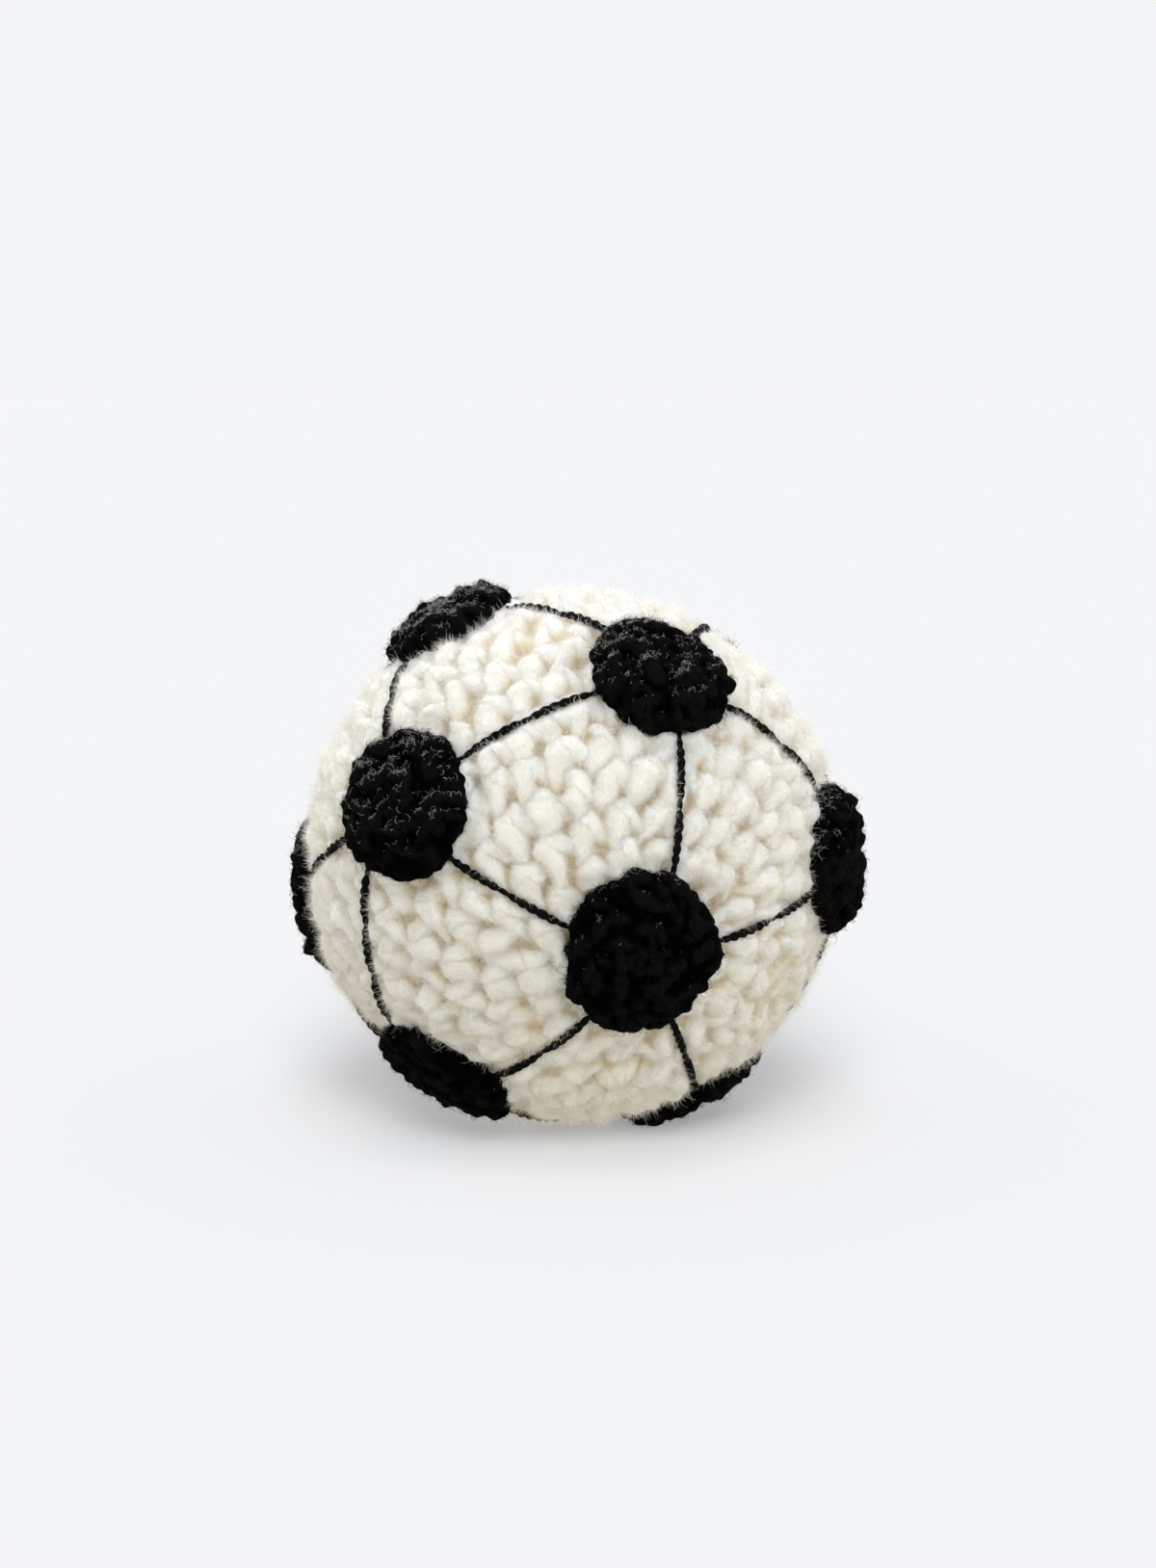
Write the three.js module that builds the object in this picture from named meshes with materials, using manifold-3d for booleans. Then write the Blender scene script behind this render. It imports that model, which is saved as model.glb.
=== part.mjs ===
// A crocheted footbag in the football pattern, resting on its side. Millimetres, +Z up.
// The origin is on the floor under the middle of the ball, in the flat that the ball settles on.
// A thick white yarn cover is worked in the round from the front pole to the rear pole.
// Twelve black crocheted patches are sewn on it at the corners of an icosahedron, each by eye.
// Thirty backstitched seams of black thread join neighbouring patches and sink into the cover.
// Inside, a thin pouch holds loose pellets that have settled, which lets the bag slump when caught.

import * as THREE from 'three';
import Module from 'manifold-3d';
import { mergeVertices } from 'three/addons/utils/BufferGeometryUtils.js';

const wasm = await Module();
wasm.setup();

// Ball and cover
const ballRadius = 30;
const coverWall = 3.6;
const roundGroove = 1.3;
const stitchGroove = 0.8;
const drawnHoleRadius = 1.4;
const settleDepth = 0.5;

// Stitch counts of the cover, as a maker would note them down
const stitchesAdded = 6;
const growingRounds = 7;
const evenRounds = 7;

// Pouch and pellets
const pouchWall = 0.4;
const pouchMouthRadius = 2.2;
const pelletLevel = 13;
const pelletHeap = 3;
const heapShares = [0.75, 0.4, 0];

// Patches
const patchRadius = 8.3;
const patchThickness = 2;
const patchRounding = 0.9;
const patchGroove = 0.45;
const patchScallop = 0.5;
const patchUndercut = 0.7;

// Seam thread
const threadRadius = 0.45;
const threadSink = 0.3;
const backstitchLength = 7;
const backstitchDip = 0.85;

// Clearances: pieces that touch keep fitGap, and cuts run past the skin by cutOverrun
const fitGap = 0.3;
const cutOverrun = 3;

// How fine the facets are
const innerSides = 18;
const innerBands = 9;
const threadSides = 5;
const pelletBands = 8;

// The way the ball lies: its crochet axis points at the viewer's right knee, a little down
const degrees = Math.PI / 180;
const ballTurn = new THREE.Quaternion().setFromEuler(
  new THREE.Euler(104.5 * degrees, 15.4 * degrees, 78.5 * degrees, 'XYZ'),
);

// Heights measured from the middle of the ball
const floorHeight = settleDepth - ballRadius;
const cavityRadius = ballRadius - coverWall;
const facetSlack = Math.cos(Math.PI / innerSides) * Math.cos(Math.PI / (2 * innerBands));
const pouchRadius = cavityRadius - fitGap;
const pelletRadius = (pouchRadius - pouchWall) * facetSlack - fitGap;
const patchBase = ballRadius + fitGap;

// The football lattice: two poles and two rings of five, turned by half a step to each other
const ringPolar = Math.atan(2);
const ringStep = (2 * Math.PI) / 5;
const neighbourReach = 1.1 * ringPolar;

// Each patch lies a few degrees off its corner, as hand sewing leaves it.
// down is measured away from the front pole and along is measured round it.
// Some came out smaller or lie flatter: their shares multiply the radius and the thickness.
const patches = [
  { name: 'front', ring: 'front pole', step: 0.475, down: 4, along: 0, widthShare: 1.02, heightShare: 0.9 },
  { name: 'crown', ring: 'front ring', step: 0, down: 0, along: -1, widthShare: 0.93, heightShare: 1.15 },
  { name: 'left', ring: 'front ring', step: 1, down: 0, along: -3, widthShare: 0.99, heightShare: 0.85 },
  { name: 'base_left', ring: 'front ring', step: 2, down: -2, along: 1, widthShare: 1.02, heightShare: 0.35 },
  { name: 'base_right', ring: 'front ring', step: 3, down: 10, along: -2, widthShare: 1.01, heightShare: 0.8 },
  { name: 'right', ring: 'front ring', step: 4, down: -1, along: 0, widthShare: 1, heightShare: 1 },
  { name: 'crown_left', ring: 'rear ring', step: 0.5, down: -8, along: 0, widthShare: 0.92, heightShare: 0.9 },
  { name: 'left_rear', ring: 'rear ring', step: 1.5, down: 0, along: 7, widthShare: 1, heightShare: 0.85 },
  { name: 'base_rear', ring: 'rear ring', step: 2.5, down: 1, along: 2, widthShare: 0.96, heightShare: 0.9 },
  { name: 'right_rear', ring: 'rear ring', step: 3.5, down: -2, along: 1, widthShare: 1, heightShare: 1 },
  { name: 'crown_rear', ring: 'rear ring', step: 4.5, down: 10, along: -7, widthShare: 1, heightShare: 1 },
  { name: 'rear', ring: 'rear pole', step: 0, down: 0, along: 0, widthShare: 1, heightShare: 1 },
];

const ringPolars = {
  'front pole': 0,
  'front ring': ringPolar,
  'rear ring': Math.PI - ringPolar,
  'rear pole': Math.PI,
};

// Seams that leave their patches beside the middle, as shares of the patch radius at both ends
const seamAsideShares = {
  front_crown: [-0.2, -0.2],
  front_left: [0.1, 0.2],
  front_base_left: [0.1, 0.2],
  front_right: [-0.1, -0.1],
  left_base_left: [-0.4, -0.4],
  left_crown_left: [0.2, 0.4],
  left_left_rear: [0.1, 0.3],
  crown_crown_left: [-0.2, -0.3],
  crown_right: [0, 0.3],
};

// Patch rounds: six, twelve and eighteen stitches, with the ridge of each as a share of the radius
const patchRounds = [
  { stitches: 6, ridgeShare: 0.25 },
  { stitches: 12, ridgeShare: 0.58 },
  { stitches: 18, ridgeShare: 0.88 },
];

// A closed skin made of rings of points, bridged one after another from its first tip to its last
class Skin {
  constructor() {
    this.positions = [];
    this.faces = [];
  }

  point(place) {
    this.positions.push(place.x, place.y, place.z);
    return this.positions.length / 3 - 1;
  }

  // A ring of points, with its first one turned on by shift steps
  ring(count, shift, placeAt) {
    const ids = [];
    for (let i = 0; i < count; i += 1) {
      const turn = (i + shift) / count;
      ids.push(this.point(placeAt(turn * 2 * Math.PI, i)));
    }
    return { ids, shift };
  }

  // Triangles between two rings that may hold different numbers of points
  bridge(near, far) {
    const nearCount = near.ids.length;
    const farCount = far.ids.length;
    let i = 0;
    let j = 0;
    while (i < nearCount || j < farCount) {
      const nextNear = (i + 1 + near.shift) / nearCount;
      const nextFar = (j + 1 + far.shift) / farCount;
      const nearId = near.ids[i % nearCount];
      const farId = far.ids[j % farCount];
      if (j < farCount && (i >= nearCount || nextFar <= nextNear)) {
        this.faces.push(nearId, farId, far.ids[(j + 1) % farCount]);
        j += 1;
      } else {
        this.faces.push(nearId, farId, near.ids[(i + 1) % nearCount]);
        i += 1;
      }
    }
  }

  // Triangles from a tip out to the first ring
  open(tip, ring) {
    ring.ids.forEach((id, i) => {
      this.faces.push(tip, id, ring.ids[(i + 1) % ring.ids.length]);
    });
  }

  // Triangles from the last ring in to a tip
  close(ring, tip) {
    ring.ids.forEach((id, i) => {
      this.faces.push(id, tip, ring.ids[(i + 1) % ring.ids.length]);
    });
  }

  geometry() {
    const geometry = new THREE.BufferGeometry();
    geometry.setAttribute('position', new THREE.Float32BufferAttribute(this.positions, 3));
    geometry.setIndex(this.faces);
    return geometry;
  }
}

// A closed geometry as a solid that can be cut
function toSolid(geometry) {
  const bare = new THREE.BufferGeometry();
  bare.setAttribute('position', geometry.getAttribute('position').clone());
  if (geometry.index) {
    bare.setIndex(geometry.index.clone());
  }
  const merged = mergeVertices(bare);
  return new wasm.Manifold(
    new wasm.Mesh({
      numProp: 3,
      vertProperties: new Float32Array(merged.getAttribute('position').array),
      triVerts: new Uint32Array(merged.index.array),
    }),
  );
}

// A cut solid back as a geometry
function toGeometry(solid) {
  const mesh = solid.getMesh();
  const geometry = new THREE.BufferGeometry();
  const flat = new Float32Array(mesh.numVert * 3);
  for (let i = 0; i < mesh.numVert; i += 1) {
    for (let axis = 0; axis < 3; axis += 1) {
      flat[i * 3 + axis] = mesh.vertProperties[i * mesh.numProp + axis];
    }
  }
  geometry.setAttribute('position', new THREE.BufferAttribute(flat, 3));
  geometry.setIndex(new THREE.BufferAttribute(new Uint32Array(mesh.triVerts), 1));
  return geometry;
}

// The main body of a cut solid, without the slivers that a cut leaves between two stitches
function largestPiece(solid) {
  const pieces = solid.decompose();
  return pieces.reduce((best, piece) => (piece.volume() > best.volume() ? piece : best));
}

// The direction at an angle from the front pole and an angle round it, as the ball lies
function direction(polar, around) {
  return new THREE.Vector3(
    Math.sin(polar) * Math.cos(around),
    Math.sin(polar) * Math.sin(around),
    Math.cos(polar),
  ).applyQuaternion(ballTurn);
}

// Everything above the floor, wide enough for the whole ball
function aboveFloor() {
  const side = 4 * ballRadius;
  const room = new THREE.BoxGeometry(side, side, side);
  room.translate(0, 0, floorHeight + side / 2);
  return toSolid(room);
}

// How open the grooves are: the stitches close up where the ball's weight flattens them
function grooveOpenness(towards) {
  const fromDown = Math.acos(-towards.z);
  const flatAngle = Math.acos((ballRadius - settleDepth) / ballRadius);
  return THREE.MathUtils.smoothstep(fromDown, flatAngle, 2 * flatAngle);
}

// The stitch count of every round, growing to the full width and shrinking again
function coverRounds() {
  const growing = Array.from({ length: growingRounds }, (_, i) => (i + 1) * stitchesAdded);
  const even = Array.from({ length: evenRounds }, () => growingRounds * stitchesAdded);
  return [...growing, ...even, ...growing.slice().reverse()];
}

// The inside of a shell, from its mouth at the rear pole back to the front pole
function lineCavity(skin, mouth, radius, mouthRadius) {
  const mouthPolar = Math.PI - mouthRadius / radius;
  let last = mouth;
  for (let band = 0; band < innerBands; band += 1) {
    const polar = mouthPolar * (1 - band / innerBands);
    const ring = skin.ring(innerSides, 0, (around) => direction(polar, around).multiplyScalar(radius));
    skin.bridge(last, ring);
    last = ring;
  }
  skin.close(last, skin.point(direction(0, 0).multiplyScalar(radius)));
}

// The crocheted cover before its cuts: a ridge of puffed stitches for each round
function coverGeometry() {
  const skin = new Skin();
  const rounds = coverRounds();
  const pitch = Math.PI / rounds.length;
  const tip = skin.point(direction(0, 0).multiplyScalar(ballRadius - roundGroove));
  let last = null;
  rounds.forEach((stitches, k) => {
    const ridge = skin.ring(2 * stitches, k % 2, (around, i) => {
      const towards = direction((k + 0.5) * pitch, around);
      const dip = i % 2 === 0 ? 0 : stitchGroove * grooveOpenness(towards);
      return towards.multiplyScalar(ballRadius - dip);
    });
    if (last) {
      skin.bridge(last, ridge);
    } else {
      skin.open(tip, ridge);
    }
    last = ridge;
    if (k < rounds.length - 1) {
      const fewer = Math.min(stitches, rounds[k + 1]);
      const valley = skin.ring(fewer, 0.5, (around) => {
        const towards = direction((k + 1) * pitch, around);
        return towards.multiplyScalar(ballRadius - roundGroove * grooveOpenness(towards));
      });
      skin.bridge(last, valley);
      last = valley;
    }
  });
  // the last round is drawn shut on a small hole that leads into the cavity
  const lipRadius = ballRadius - roundGroove;
  const lip = skin.ring(stitchesAdded, 0, (around) => {
    const polar = Math.PI - drawnHoleRadius / lipRadius;
    return direction(polar, around).multiplyScalar(lipRadius);
  });
  skin.bridge(last, lip);
  lineCavity(skin, lip, cavityRadius / facetSlack, drawnHoleRadius);
  return skin.geometry();
}

// The inner pouch, with its mouth behind the drawn hole of the cover
function pouchGeometry() {
  const skin = new Skin();
  const mouthPolar = Math.PI - pouchMouthRadius / pouchRadius;
  const tip = skin.point(direction(0, 0).multiplyScalar(pouchRadius));
  let last = null;
  for (let band = 1; band <= innerBands; band += 1) {
    const polar = (mouthPolar * band) / innerBands;
    const ring = skin.ring(innerSides, 0, (around) => {
      return direction(polar, around).multiplyScalar(pouchRadius);
    });
    if (last) {
      skin.bridge(last, ring);
    } else {
      skin.open(tip, ring);
    }
    last = ring;
  }
  lineCavity(skin, last, pouchRadius - pouchWall, pouchMouthRadius);
  return skin.geometry();
}

// The settled pellets: a ball with its top spread into a low heap
function pelletGeometry() {
  const profile = [];
  const levelAngle = Math.asin(pelletLevel / pelletRadius);
  for (let i = 0; i <= pelletBands; i += 1) {
    const angle = THREE.MathUtils.lerp(-Math.PI / 2, levelAngle, i / pelletBands);
    profile.push(new THREE.Vector2(pelletRadius * Math.cos(angle), pelletRadius * Math.sin(angle)));
  }
  profile[0].x = 0;
  const rimRadius = pelletRadius * Math.cos(levelAngle);
  heapShares.forEach((share) => {
    const rise = pelletHeap * (1 - share * share);
    profile.push(new THREE.Vector2(rimRadius * share, pelletLevel + rise));
  });
  const heap = new THREE.LatheGeometry(profile, innerSides);
  heap.rotateX(Math.PI / 2);
  return heap;
}

// Where a patch is sewn: its middle, two directions across it, its radius and how thick it is
function patchFrame(patch) {
  const polar = ringPolars[patch.ring];
  const spread = Math.max(Math.sin(polar), Math.sin(patchRadius / ballRadius));
  const around = patch.step * ringStep + (patch.along * degrees) / spread;
  const middle = direction(polar + patch.down * degrees, around);
  const away = direction(polar + patch.down * degrees + Math.PI / 2, around);
  const across = new THREE.Vector3().crossVectors(middle, away);
  const radius = patchRadius * patch.widthShare;
  const thickness = patchThickness * patch.heightShare;
  return { middle, away, across, radius, thickness, heightShare: patch.heightShare };
}

// The lattice corner that a patch belongs to
function patchCorner(patch) {
  return direction(ringPolars[patch.ring], patch.step * ringStep);
}

// A place on a patch: reach is measured along the ball from the middle of the patch.
// The floor lifts whatever a full thick patch would push below it.
function patchPlace(frame, reach, around, height) {
  const towards = frame.middle.clone().multiplyScalar(Math.cos(reach / ballRadius));
  towards.addScaledVector(frame.away, Math.sin(reach / ballRadius) * Math.cos(around));
  towards.addScaledVector(frame.across, Math.sin(reach / ballRadius) * Math.sin(around));
  const lowest = (patchBase + frame.thickness) * towards.z;
  const lift = Math.max(0, floorHeight - lowest);
  const place = towards.multiplyScalar(height);
  place.z += lift;
  return place;
}

// A crocheted patch: ridged rounds, a domed top with a pit in its middle and a scalloped edge
function patchGeometry(patch) {
  const frame = patchFrame(patch);
  const skin = new Skin();
  const top = patchBase + frame.thickness;
  const groove = patchGroove * frame.heightShare;
  const topAt = (share) => top - patchRounding * frame.heightShare * share ** 3;
  const middleTop = patchPlace(frame, 0, 0, topAt(0) - groove);
  const tip = skin.point(middleTop);
  let last = null;
  patchRounds.forEach((round, k) => {
    const reach = frame.radius * round.ridgeShare;
    const ridge = skin.ring(2 * round.stitches, 0, (around, i) => {
      const dip = i % 2 === 0 ? 0 : groove;
      return patchPlace(frame, reach, around, topAt(round.ridgeShare) - dip);
    });
    if (last) {
      skin.bridge(last, ridge);
    } else {
      skin.open(tip, ridge);
    }
    last = ridge;
    if (k < patchRounds.length - 1) {
      const valleyShare = (round.ridgeShare + patchRounds[k + 1].ridgeShare) / 2;
      const valley = skin.ring(round.stitches, 0.5, (around) => {
        return patchPlace(frame, frame.radius * valleyShare, around, topAt(valleyShare) - 2 * groove);
      });
      skin.bridge(last, valley);
      last = valley;
    }
  });
  const rimStitches = patchRounds[patchRounds.length - 1].stitches;
  const edge = skin.ring(2 * rimStitches, 0, (around, i) => {
    const reach = frame.radius - (i % 2 === 0 ? 0 : patchScallop);
    return patchPlace(frame, reach, around, patchBase + frame.thickness / 3);
  });
  skin.bridge(last, edge);
  const under = skin.ring(rimStitches, 0, (around) => {
    return patchPlace(frame, frame.radius - patchUndercut, around, patchBase);
  });
  skin.bridge(edge, under);
  const inner = skin.ring(patchRounds[0].stitches, 0, (around) => {
    return patchPlace(frame, (frame.radius - patchUndercut) / 2, around, patchBase);
  });
  skin.bridge(under, inner);
  skin.close(inner, skin.point(patchPlace(frame, 0, 0, patchBase)));
  return skin.geometry();
}

// Whether the floor presses a patch into the cover
function isPressed(patch) {
  const { middle, radius, thickness } = patchFrame(patch);
  const nearest = Math.max(0, Math.acos(-middle.z) - radius / ballRadius);
  return (patchBase + thickness) * Math.cos(nearest) > ballRadius - settleDepth;
}

// The room that a pressed patch needs in the cover
function patchSeat(patch) {
  const frame = patchFrame(patch);
  const skin = new Skin();
  const sides = patchRounds[patchRounds.length - 1].stitches;
  const reach = frame.radius + fitGap;
  const top = patchBase + frame.thickness + cutOverrun;
  const bottom = patchBase - fitGap;
  const heights = [
    [reach / 2, top],
    [reach, top],
    [reach, bottom],
    [reach / 2, bottom],
  ];
  let last = null;
  heights.forEach(([at, height]) => {
    const ring = skin.ring(sides, 0, (around) => patchPlace(frame, at, around, height));
    if (last) {
      skin.bridge(last, ring);
    } else {
      skin.open(skin.point(patchPlace(frame, 0, 0, height)), ring);
    }
    last = ring;
  });
  skin.close(last, skin.point(patchPlace(frame, 0, 0, bottom)));
  return toSolid(skin.geometry());
}

// A seam's route over the ball: an arc between two patches that dips at every backstitch
class SeamPath extends THREE.Curve {
  constructor(from, to, asideShares, overrun) {
    super();
    const side = new THREE.Vector3().crossVectors(from.middle, to.middle).normalize();
    const radii = [from.radius, to.radius];
    const asides = asideShares.map((share, end) => (share * radii[end]) / ballRadius);
    this.start = from.middle.clone().addScaledVector(side, Math.tan(asides[0])).normalize();
    this.end = to.middle.clone().addScaledVector(side, Math.tan(asides[1])).normalize();
    this.span = this.start.angleTo(this.end);
    const clears = radii.map((radius) => (radius + fitGap) / ballRadius);
    const trims = asides.map((aside, end) => Math.acos(Math.cos(clears[end]) / Math.cos(aside)));
    this.trims = trims.map((trim) => trim / this.span);
    const visible = this.span * (1 - this.trims[0] - this.trims[1]) * ballRadius;
    this.stitches = Math.max(2, Math.round(visible / backstitchLength));
    this.overrunShare = overrun / visible;
  }

  getPoint(t, target = new THREE.Vector3()) {
    const along = THREE.MathUtils.lerp(-this.overrunShare, 1 + this.overrunShare, t);
    const share = THREE.MathUtils.lerp(this.trims[0], 1 - this.trims[1], along);
    const before = Math.sin((1 - share) * this.span) / Math.sin(this.span);
    const after = Math.sin(share * this.span) / Math.sin(this.span);
    target.copy(this.start).multiplyScalar(before).addScaledVector(this.end, after);
    const inside = THREE.MathUtils.clamp(along, 0, 1);
    const dip = backstitchDip * Math.abs(Math.cos(Math.PI * this.stitches * inside)) ** 6;
    target.multiplyScalar(ballRadius - threadSink - dip);
    target.z = Math.max(target.z, floorHeight + threadRadius + fitGap / 2);
    return target;
  }
}

// A round section swept along a seam
function sweptThread(path, radius) {
  const section = new THREE.Shape();
  for (let i = 0; i < threadSides; i += 1) {
    const angle = (i * 2 * Math.PI) / threadSides;
    const x = radius * Math.cos(angle);
    const y = radius * Math.sin(angle);
    if (i === 0) {
      section.moveTo(x, y);
    } else {
      section.lineTo(x, y);
    }
  }
  section.closePath();
  return new THREE.ExtrudeGeometry(section, { steps: 2 * path.stitches, extrudePath: path });
}

// Every pair of neighbouring patches, which a seam joins
function seamPairs() {
  const pairs = [];
  patches.forEach((a, i) => {
    patches.slice(i + 1).forEach((b) => {
      const apart = patchCorner(a).angleTo(patchCorner(b));
      if (apart < neighbourReach) {
        pairs.push([a, b]);
      }
    });
  });
  return pairs;
}

const whiteYarn = new THREE.MeshStandardMaterial({ color: 0xece7da, roughness: 0.95, metalness: 0 });
const blackYarn = new THREE.MeshStandardMaterial({ color: 0x131312, roughness: 0.9, metalness: 0 });
const blackThread = new THREE.MeshStandardMaterial({ color: 0x171614, roughness: 0.85, metalness: 0 });
const pouchCloth = new THREE.MeshStandardMaterial({ color: 0xd8d5cc, roughness: 0.8, metalness: 0 });
const pellets = new THREE.MeshStandardMaterial({ color: 0xdfe3e4, roughness: 0.5, metalness: 0 });

const footbag = new THREE.Group();
footbag.position.z = -floorHeight;

function addPiece(name, geometry, material) {
  const mesh = new THREE.Mesh(geometry, material);
  mesh.name = name;
  footbag.add(mesh);
}

const seams = seamPairs().map(([a, b]) => {
  const name = `${a.name}_${b.name}`;
  const from = patchFrame(a);
  const to = patchFrame(b);
  const asideShares = seamAsideShares[name] ?? [0, 0];
  return {
    name,
    thread: new SeamPath(from, to, asideShares, 0),
    groove: new SeamPath(from, to, asideShares, 2 * fitGap),
  };
});

const grooves = seams.map((seam) => toSolid(sweptThread(seam.groove, threadRadius + fitGap)));
const seats = patches.filter(isPressed).map(patchSeat);
const cuts = wasm.Manifold.union([...grooves, ...seats]);
const cover = largestPiece(toSolid(coverGeometry()).subtract(cuts).intersect(aboveFloor()));

addPiece('white_cover', toGeometry(cover), whiteYarn);
addPiece('inner_pouch', pouchGeometry(), pouchCloth);
addPiece('pellet_fill', pelletGeometry(), pellets);
patches.forEach((patch) => addPiece(`patch_${patch.name}`, patchGeometry(patch), blackYarn));
seams.forEach((seam) => addPiece(`seam_${seam.name}`, sweptThread(seam.thread, threadRadius), blackThread));

export default footbag;
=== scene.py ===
"""A crocheted footbag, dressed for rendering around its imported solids.

The ivory cover is crocheted in rounds, from the pole under the front patch to the pole under the rear patch.
Twelve round black patches are sewn on it in the football pattern, and lines of black backstitched thread join
each patch to its neighbours. Inside are a gathered lining pouch and loose pellets. All lengths are in metres.
"""

import logging
import math
from dataclasses import dataclass, field
from enum import Enum
from typing import Optional, Sequence, Union

import bpy
import numpy as np
from mathutils import Matrix, Vector


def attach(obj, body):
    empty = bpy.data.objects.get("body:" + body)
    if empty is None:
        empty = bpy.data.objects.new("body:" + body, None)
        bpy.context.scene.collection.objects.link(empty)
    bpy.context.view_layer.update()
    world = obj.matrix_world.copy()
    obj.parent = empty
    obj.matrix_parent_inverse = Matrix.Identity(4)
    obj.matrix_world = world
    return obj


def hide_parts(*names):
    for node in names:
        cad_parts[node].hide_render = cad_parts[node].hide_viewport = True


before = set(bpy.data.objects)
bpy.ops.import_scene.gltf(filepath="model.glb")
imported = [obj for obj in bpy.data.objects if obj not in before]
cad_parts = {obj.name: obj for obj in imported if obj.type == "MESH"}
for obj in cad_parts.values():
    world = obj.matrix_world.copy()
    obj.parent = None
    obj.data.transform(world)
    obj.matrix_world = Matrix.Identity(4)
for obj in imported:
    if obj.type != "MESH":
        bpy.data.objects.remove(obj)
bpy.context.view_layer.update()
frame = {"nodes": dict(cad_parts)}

Array = np.ndarray
Colour = tuple[float, float, float]
Span = tuple[float, float]
Number = Union[int, float]

MM = 0.001
BODY = "root"
LIT_FOOTBAG = "lit_footbag"
LIT_FLOOR = "lit_floor"
WAVE_SPREAD = (0.6, 1.4)
FACING_FOCUS = 5
POINTS_AT_ONCE = 4000
NEAR_POLE = 0.02
PHOTO_HEIGHT = 1628

log = logging.getLogger("footbag")


def unit(vectors: Array) -> Array:
    """Returns the vectors stretched or shrunk to length one."""
    return vectors / np.linalg.norm(vectors, axis=-1, keepdims=True)


def smooth_step(values: Array, low: float, high: float) -> Array:
    """Eases from 0 to 1 while the values go from low to high, either of which may be the lower."""
    share = np.clip((values - low) / (high - low), 0, 1)
    return share * share * (3 - 2 * share)


def settled(heights: Array, ease: float) -> Array:
    """Presses soft goods onto the floor, and eases the edge of the flat over a height."""
    eased = (heights + ease) ** 2 / (4 * ease)
    return np.where(heights > ease, heights, np.where(heights < -ease, 0.0, eased))


def swung(first: Array, second: Array, angle: Array) -> Array:
    """Swings one direction towards another, square to it, by an angle."""
    return first * np.cos(angle)[..., None] + second * np.sin(angle)[..., None]


def square_to(direction: Array) -> tuple[Array, Array]:
    """Finds two unit directions that are square to a unit direction and to each other.

    Args:
        direction: The unit direction.

    Returns:
        The two directions.
    """
    helper = np.eye(3)[0 if abs(direction[0]) < 0.8 else 1]
    first = unit(np.cross(helper, direction))
    return first, np.cross(direction, first)


def distances(points: Array) -> Array:
    """Measures how far along their line each of the points lies."""
    steps = np.linalg.norm(np.diff(points, axis=0), axis=1)
    return np.concatenate([[0], np.cumsum(steps)])


def ripple(directions: Array, rng: np.random.Generator, waves: int, pitch: float) -> Array:
    """Adds up random waves into a soft unevenness over the ball.

    Args:
        directions: Unit directions from the middle of the ball.
        rng: The source of chance.
        waves: How many waves are added up.
        pitch: The typical wave count round the ball.

    Returns:
        One value for each direction, mostly between -1 and 1.
    """
    total = np.zeros(len(directions))
    for _ in range(waves):
        wave = unit(rng.normal(size=3)) * pitch * rng.uniform(*WAVE_SPREAD)
        total += np.sin(directions @ wave + rng.uniform(0, math.tau))
    return total / math.sqrt(waves)


def ring_faces(rings: int, columns: int, turned: bool = False) -> Array:
    """Joins rings of points by four-sided faces.

    Args:
        rings: How many rings there are, one after another.
        columns: How many points each has.
        turned: Whether the faces look the other way.

    Returns:
        The faces, ring by ring.
    """
    first = np.arange(columns)
    after = np.roll(first, -1)
    low = np.arange(rings - 1)[:, None] * columns
    corners = [low + first, low + columns + first, low + columns + after, low + after]
    if turned:
        corners[1], corners[3] = corners[3], corners[1]
    return np.stack(corners, axis=-1).reshape(-1, 4)


def fan(tip: int, rim: Array, turned: bool = False) -> Array:
    """Closes a ring, whose points' numbers are given, by three-sided faces round one point."""
    edge = [rim, np.roll(rim, -1)]
    return np.stack([np.full(len(rim), tip), *(edge[::-1] if turned else edge)], axis=1)


def closed_tube(rings: int, columns: int, turned: bool = False) -> list[Array]:
    """Makes the faces of a tube of rings, which two points after the rings close at its ends.

    Args:
        rings: How many rings there are.
        columns: How many points each has.
        turned: Whether the faces look the other way.

    Returns:
        The three-sided faces of both ends, and the four-sided faces of the rings.
    """
    rim = np.arange(columns)
    count = rings * columns
    ends = [fan(count, rim, turned), fan(count + 1, count - columns + rim, not turned)]
    return [np.concatenate(ends), ring_faces(rings, columns, turned)]


class Wire:
    """A shader socket, with operators that add Math nodes."""

    def __init__(self, recipe: "Recipe", socket: bpy.types.NodeSocket) -> None:
        """Wraps an output socket of a recipe's node tree."""
        self.recipe = recipe
        self.socket = socket

    def __add__(self, other: "Value") -> "Wire":
        """Adds a value to this one."""
        return self.recipe.maths("ADD", self, other)

    def __radd__(self, other: Number) -> "Wire":
        """Adds this value to a number."""
        return self.recipe.maths("ADD", other, self)

    def __sub__(self, other: "Value") -> "Wire":
        """Takes a value from this one."""
        return self.recipe.maths("SUBTRACT", self, other)

    def __rsub__(self, other: Number) -> "Wire":
        """Takes this value from a number."""
        return self.recipe.maths("SUBTRACT", other, self)

    def __mul__(self, other: "Value") -> "Wire":
        """Multiplies this value by another."""
        return self.recipe.maths("MULTIPLY", self, other)

    def __rmul__(self, other: Number) -> "Wire":
        """Multiplies a number by this value."""
        return self.recipe.maths("MULTIPLY", other, self)

    def __pow__(self, other: "Value") -> "Wire":
        """Raises this value to a power."""
        return self.recipe.maths("POWER", self, other)

    def clamped(self) -> "Wire":
        """Returns this value kept between 0 and 1."""
        return self.recipe.node("ShaderNodeClamp", None, {"Value": self}, "Result")

    def ramped(self, start: float, gain: float) -> "Wire":
        """Returns how far this value is past a start, times a gain, kept between 0 and 1."""
        return ((self - start) * gain).clamped()


Value = Union[Wire, Number]


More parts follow.
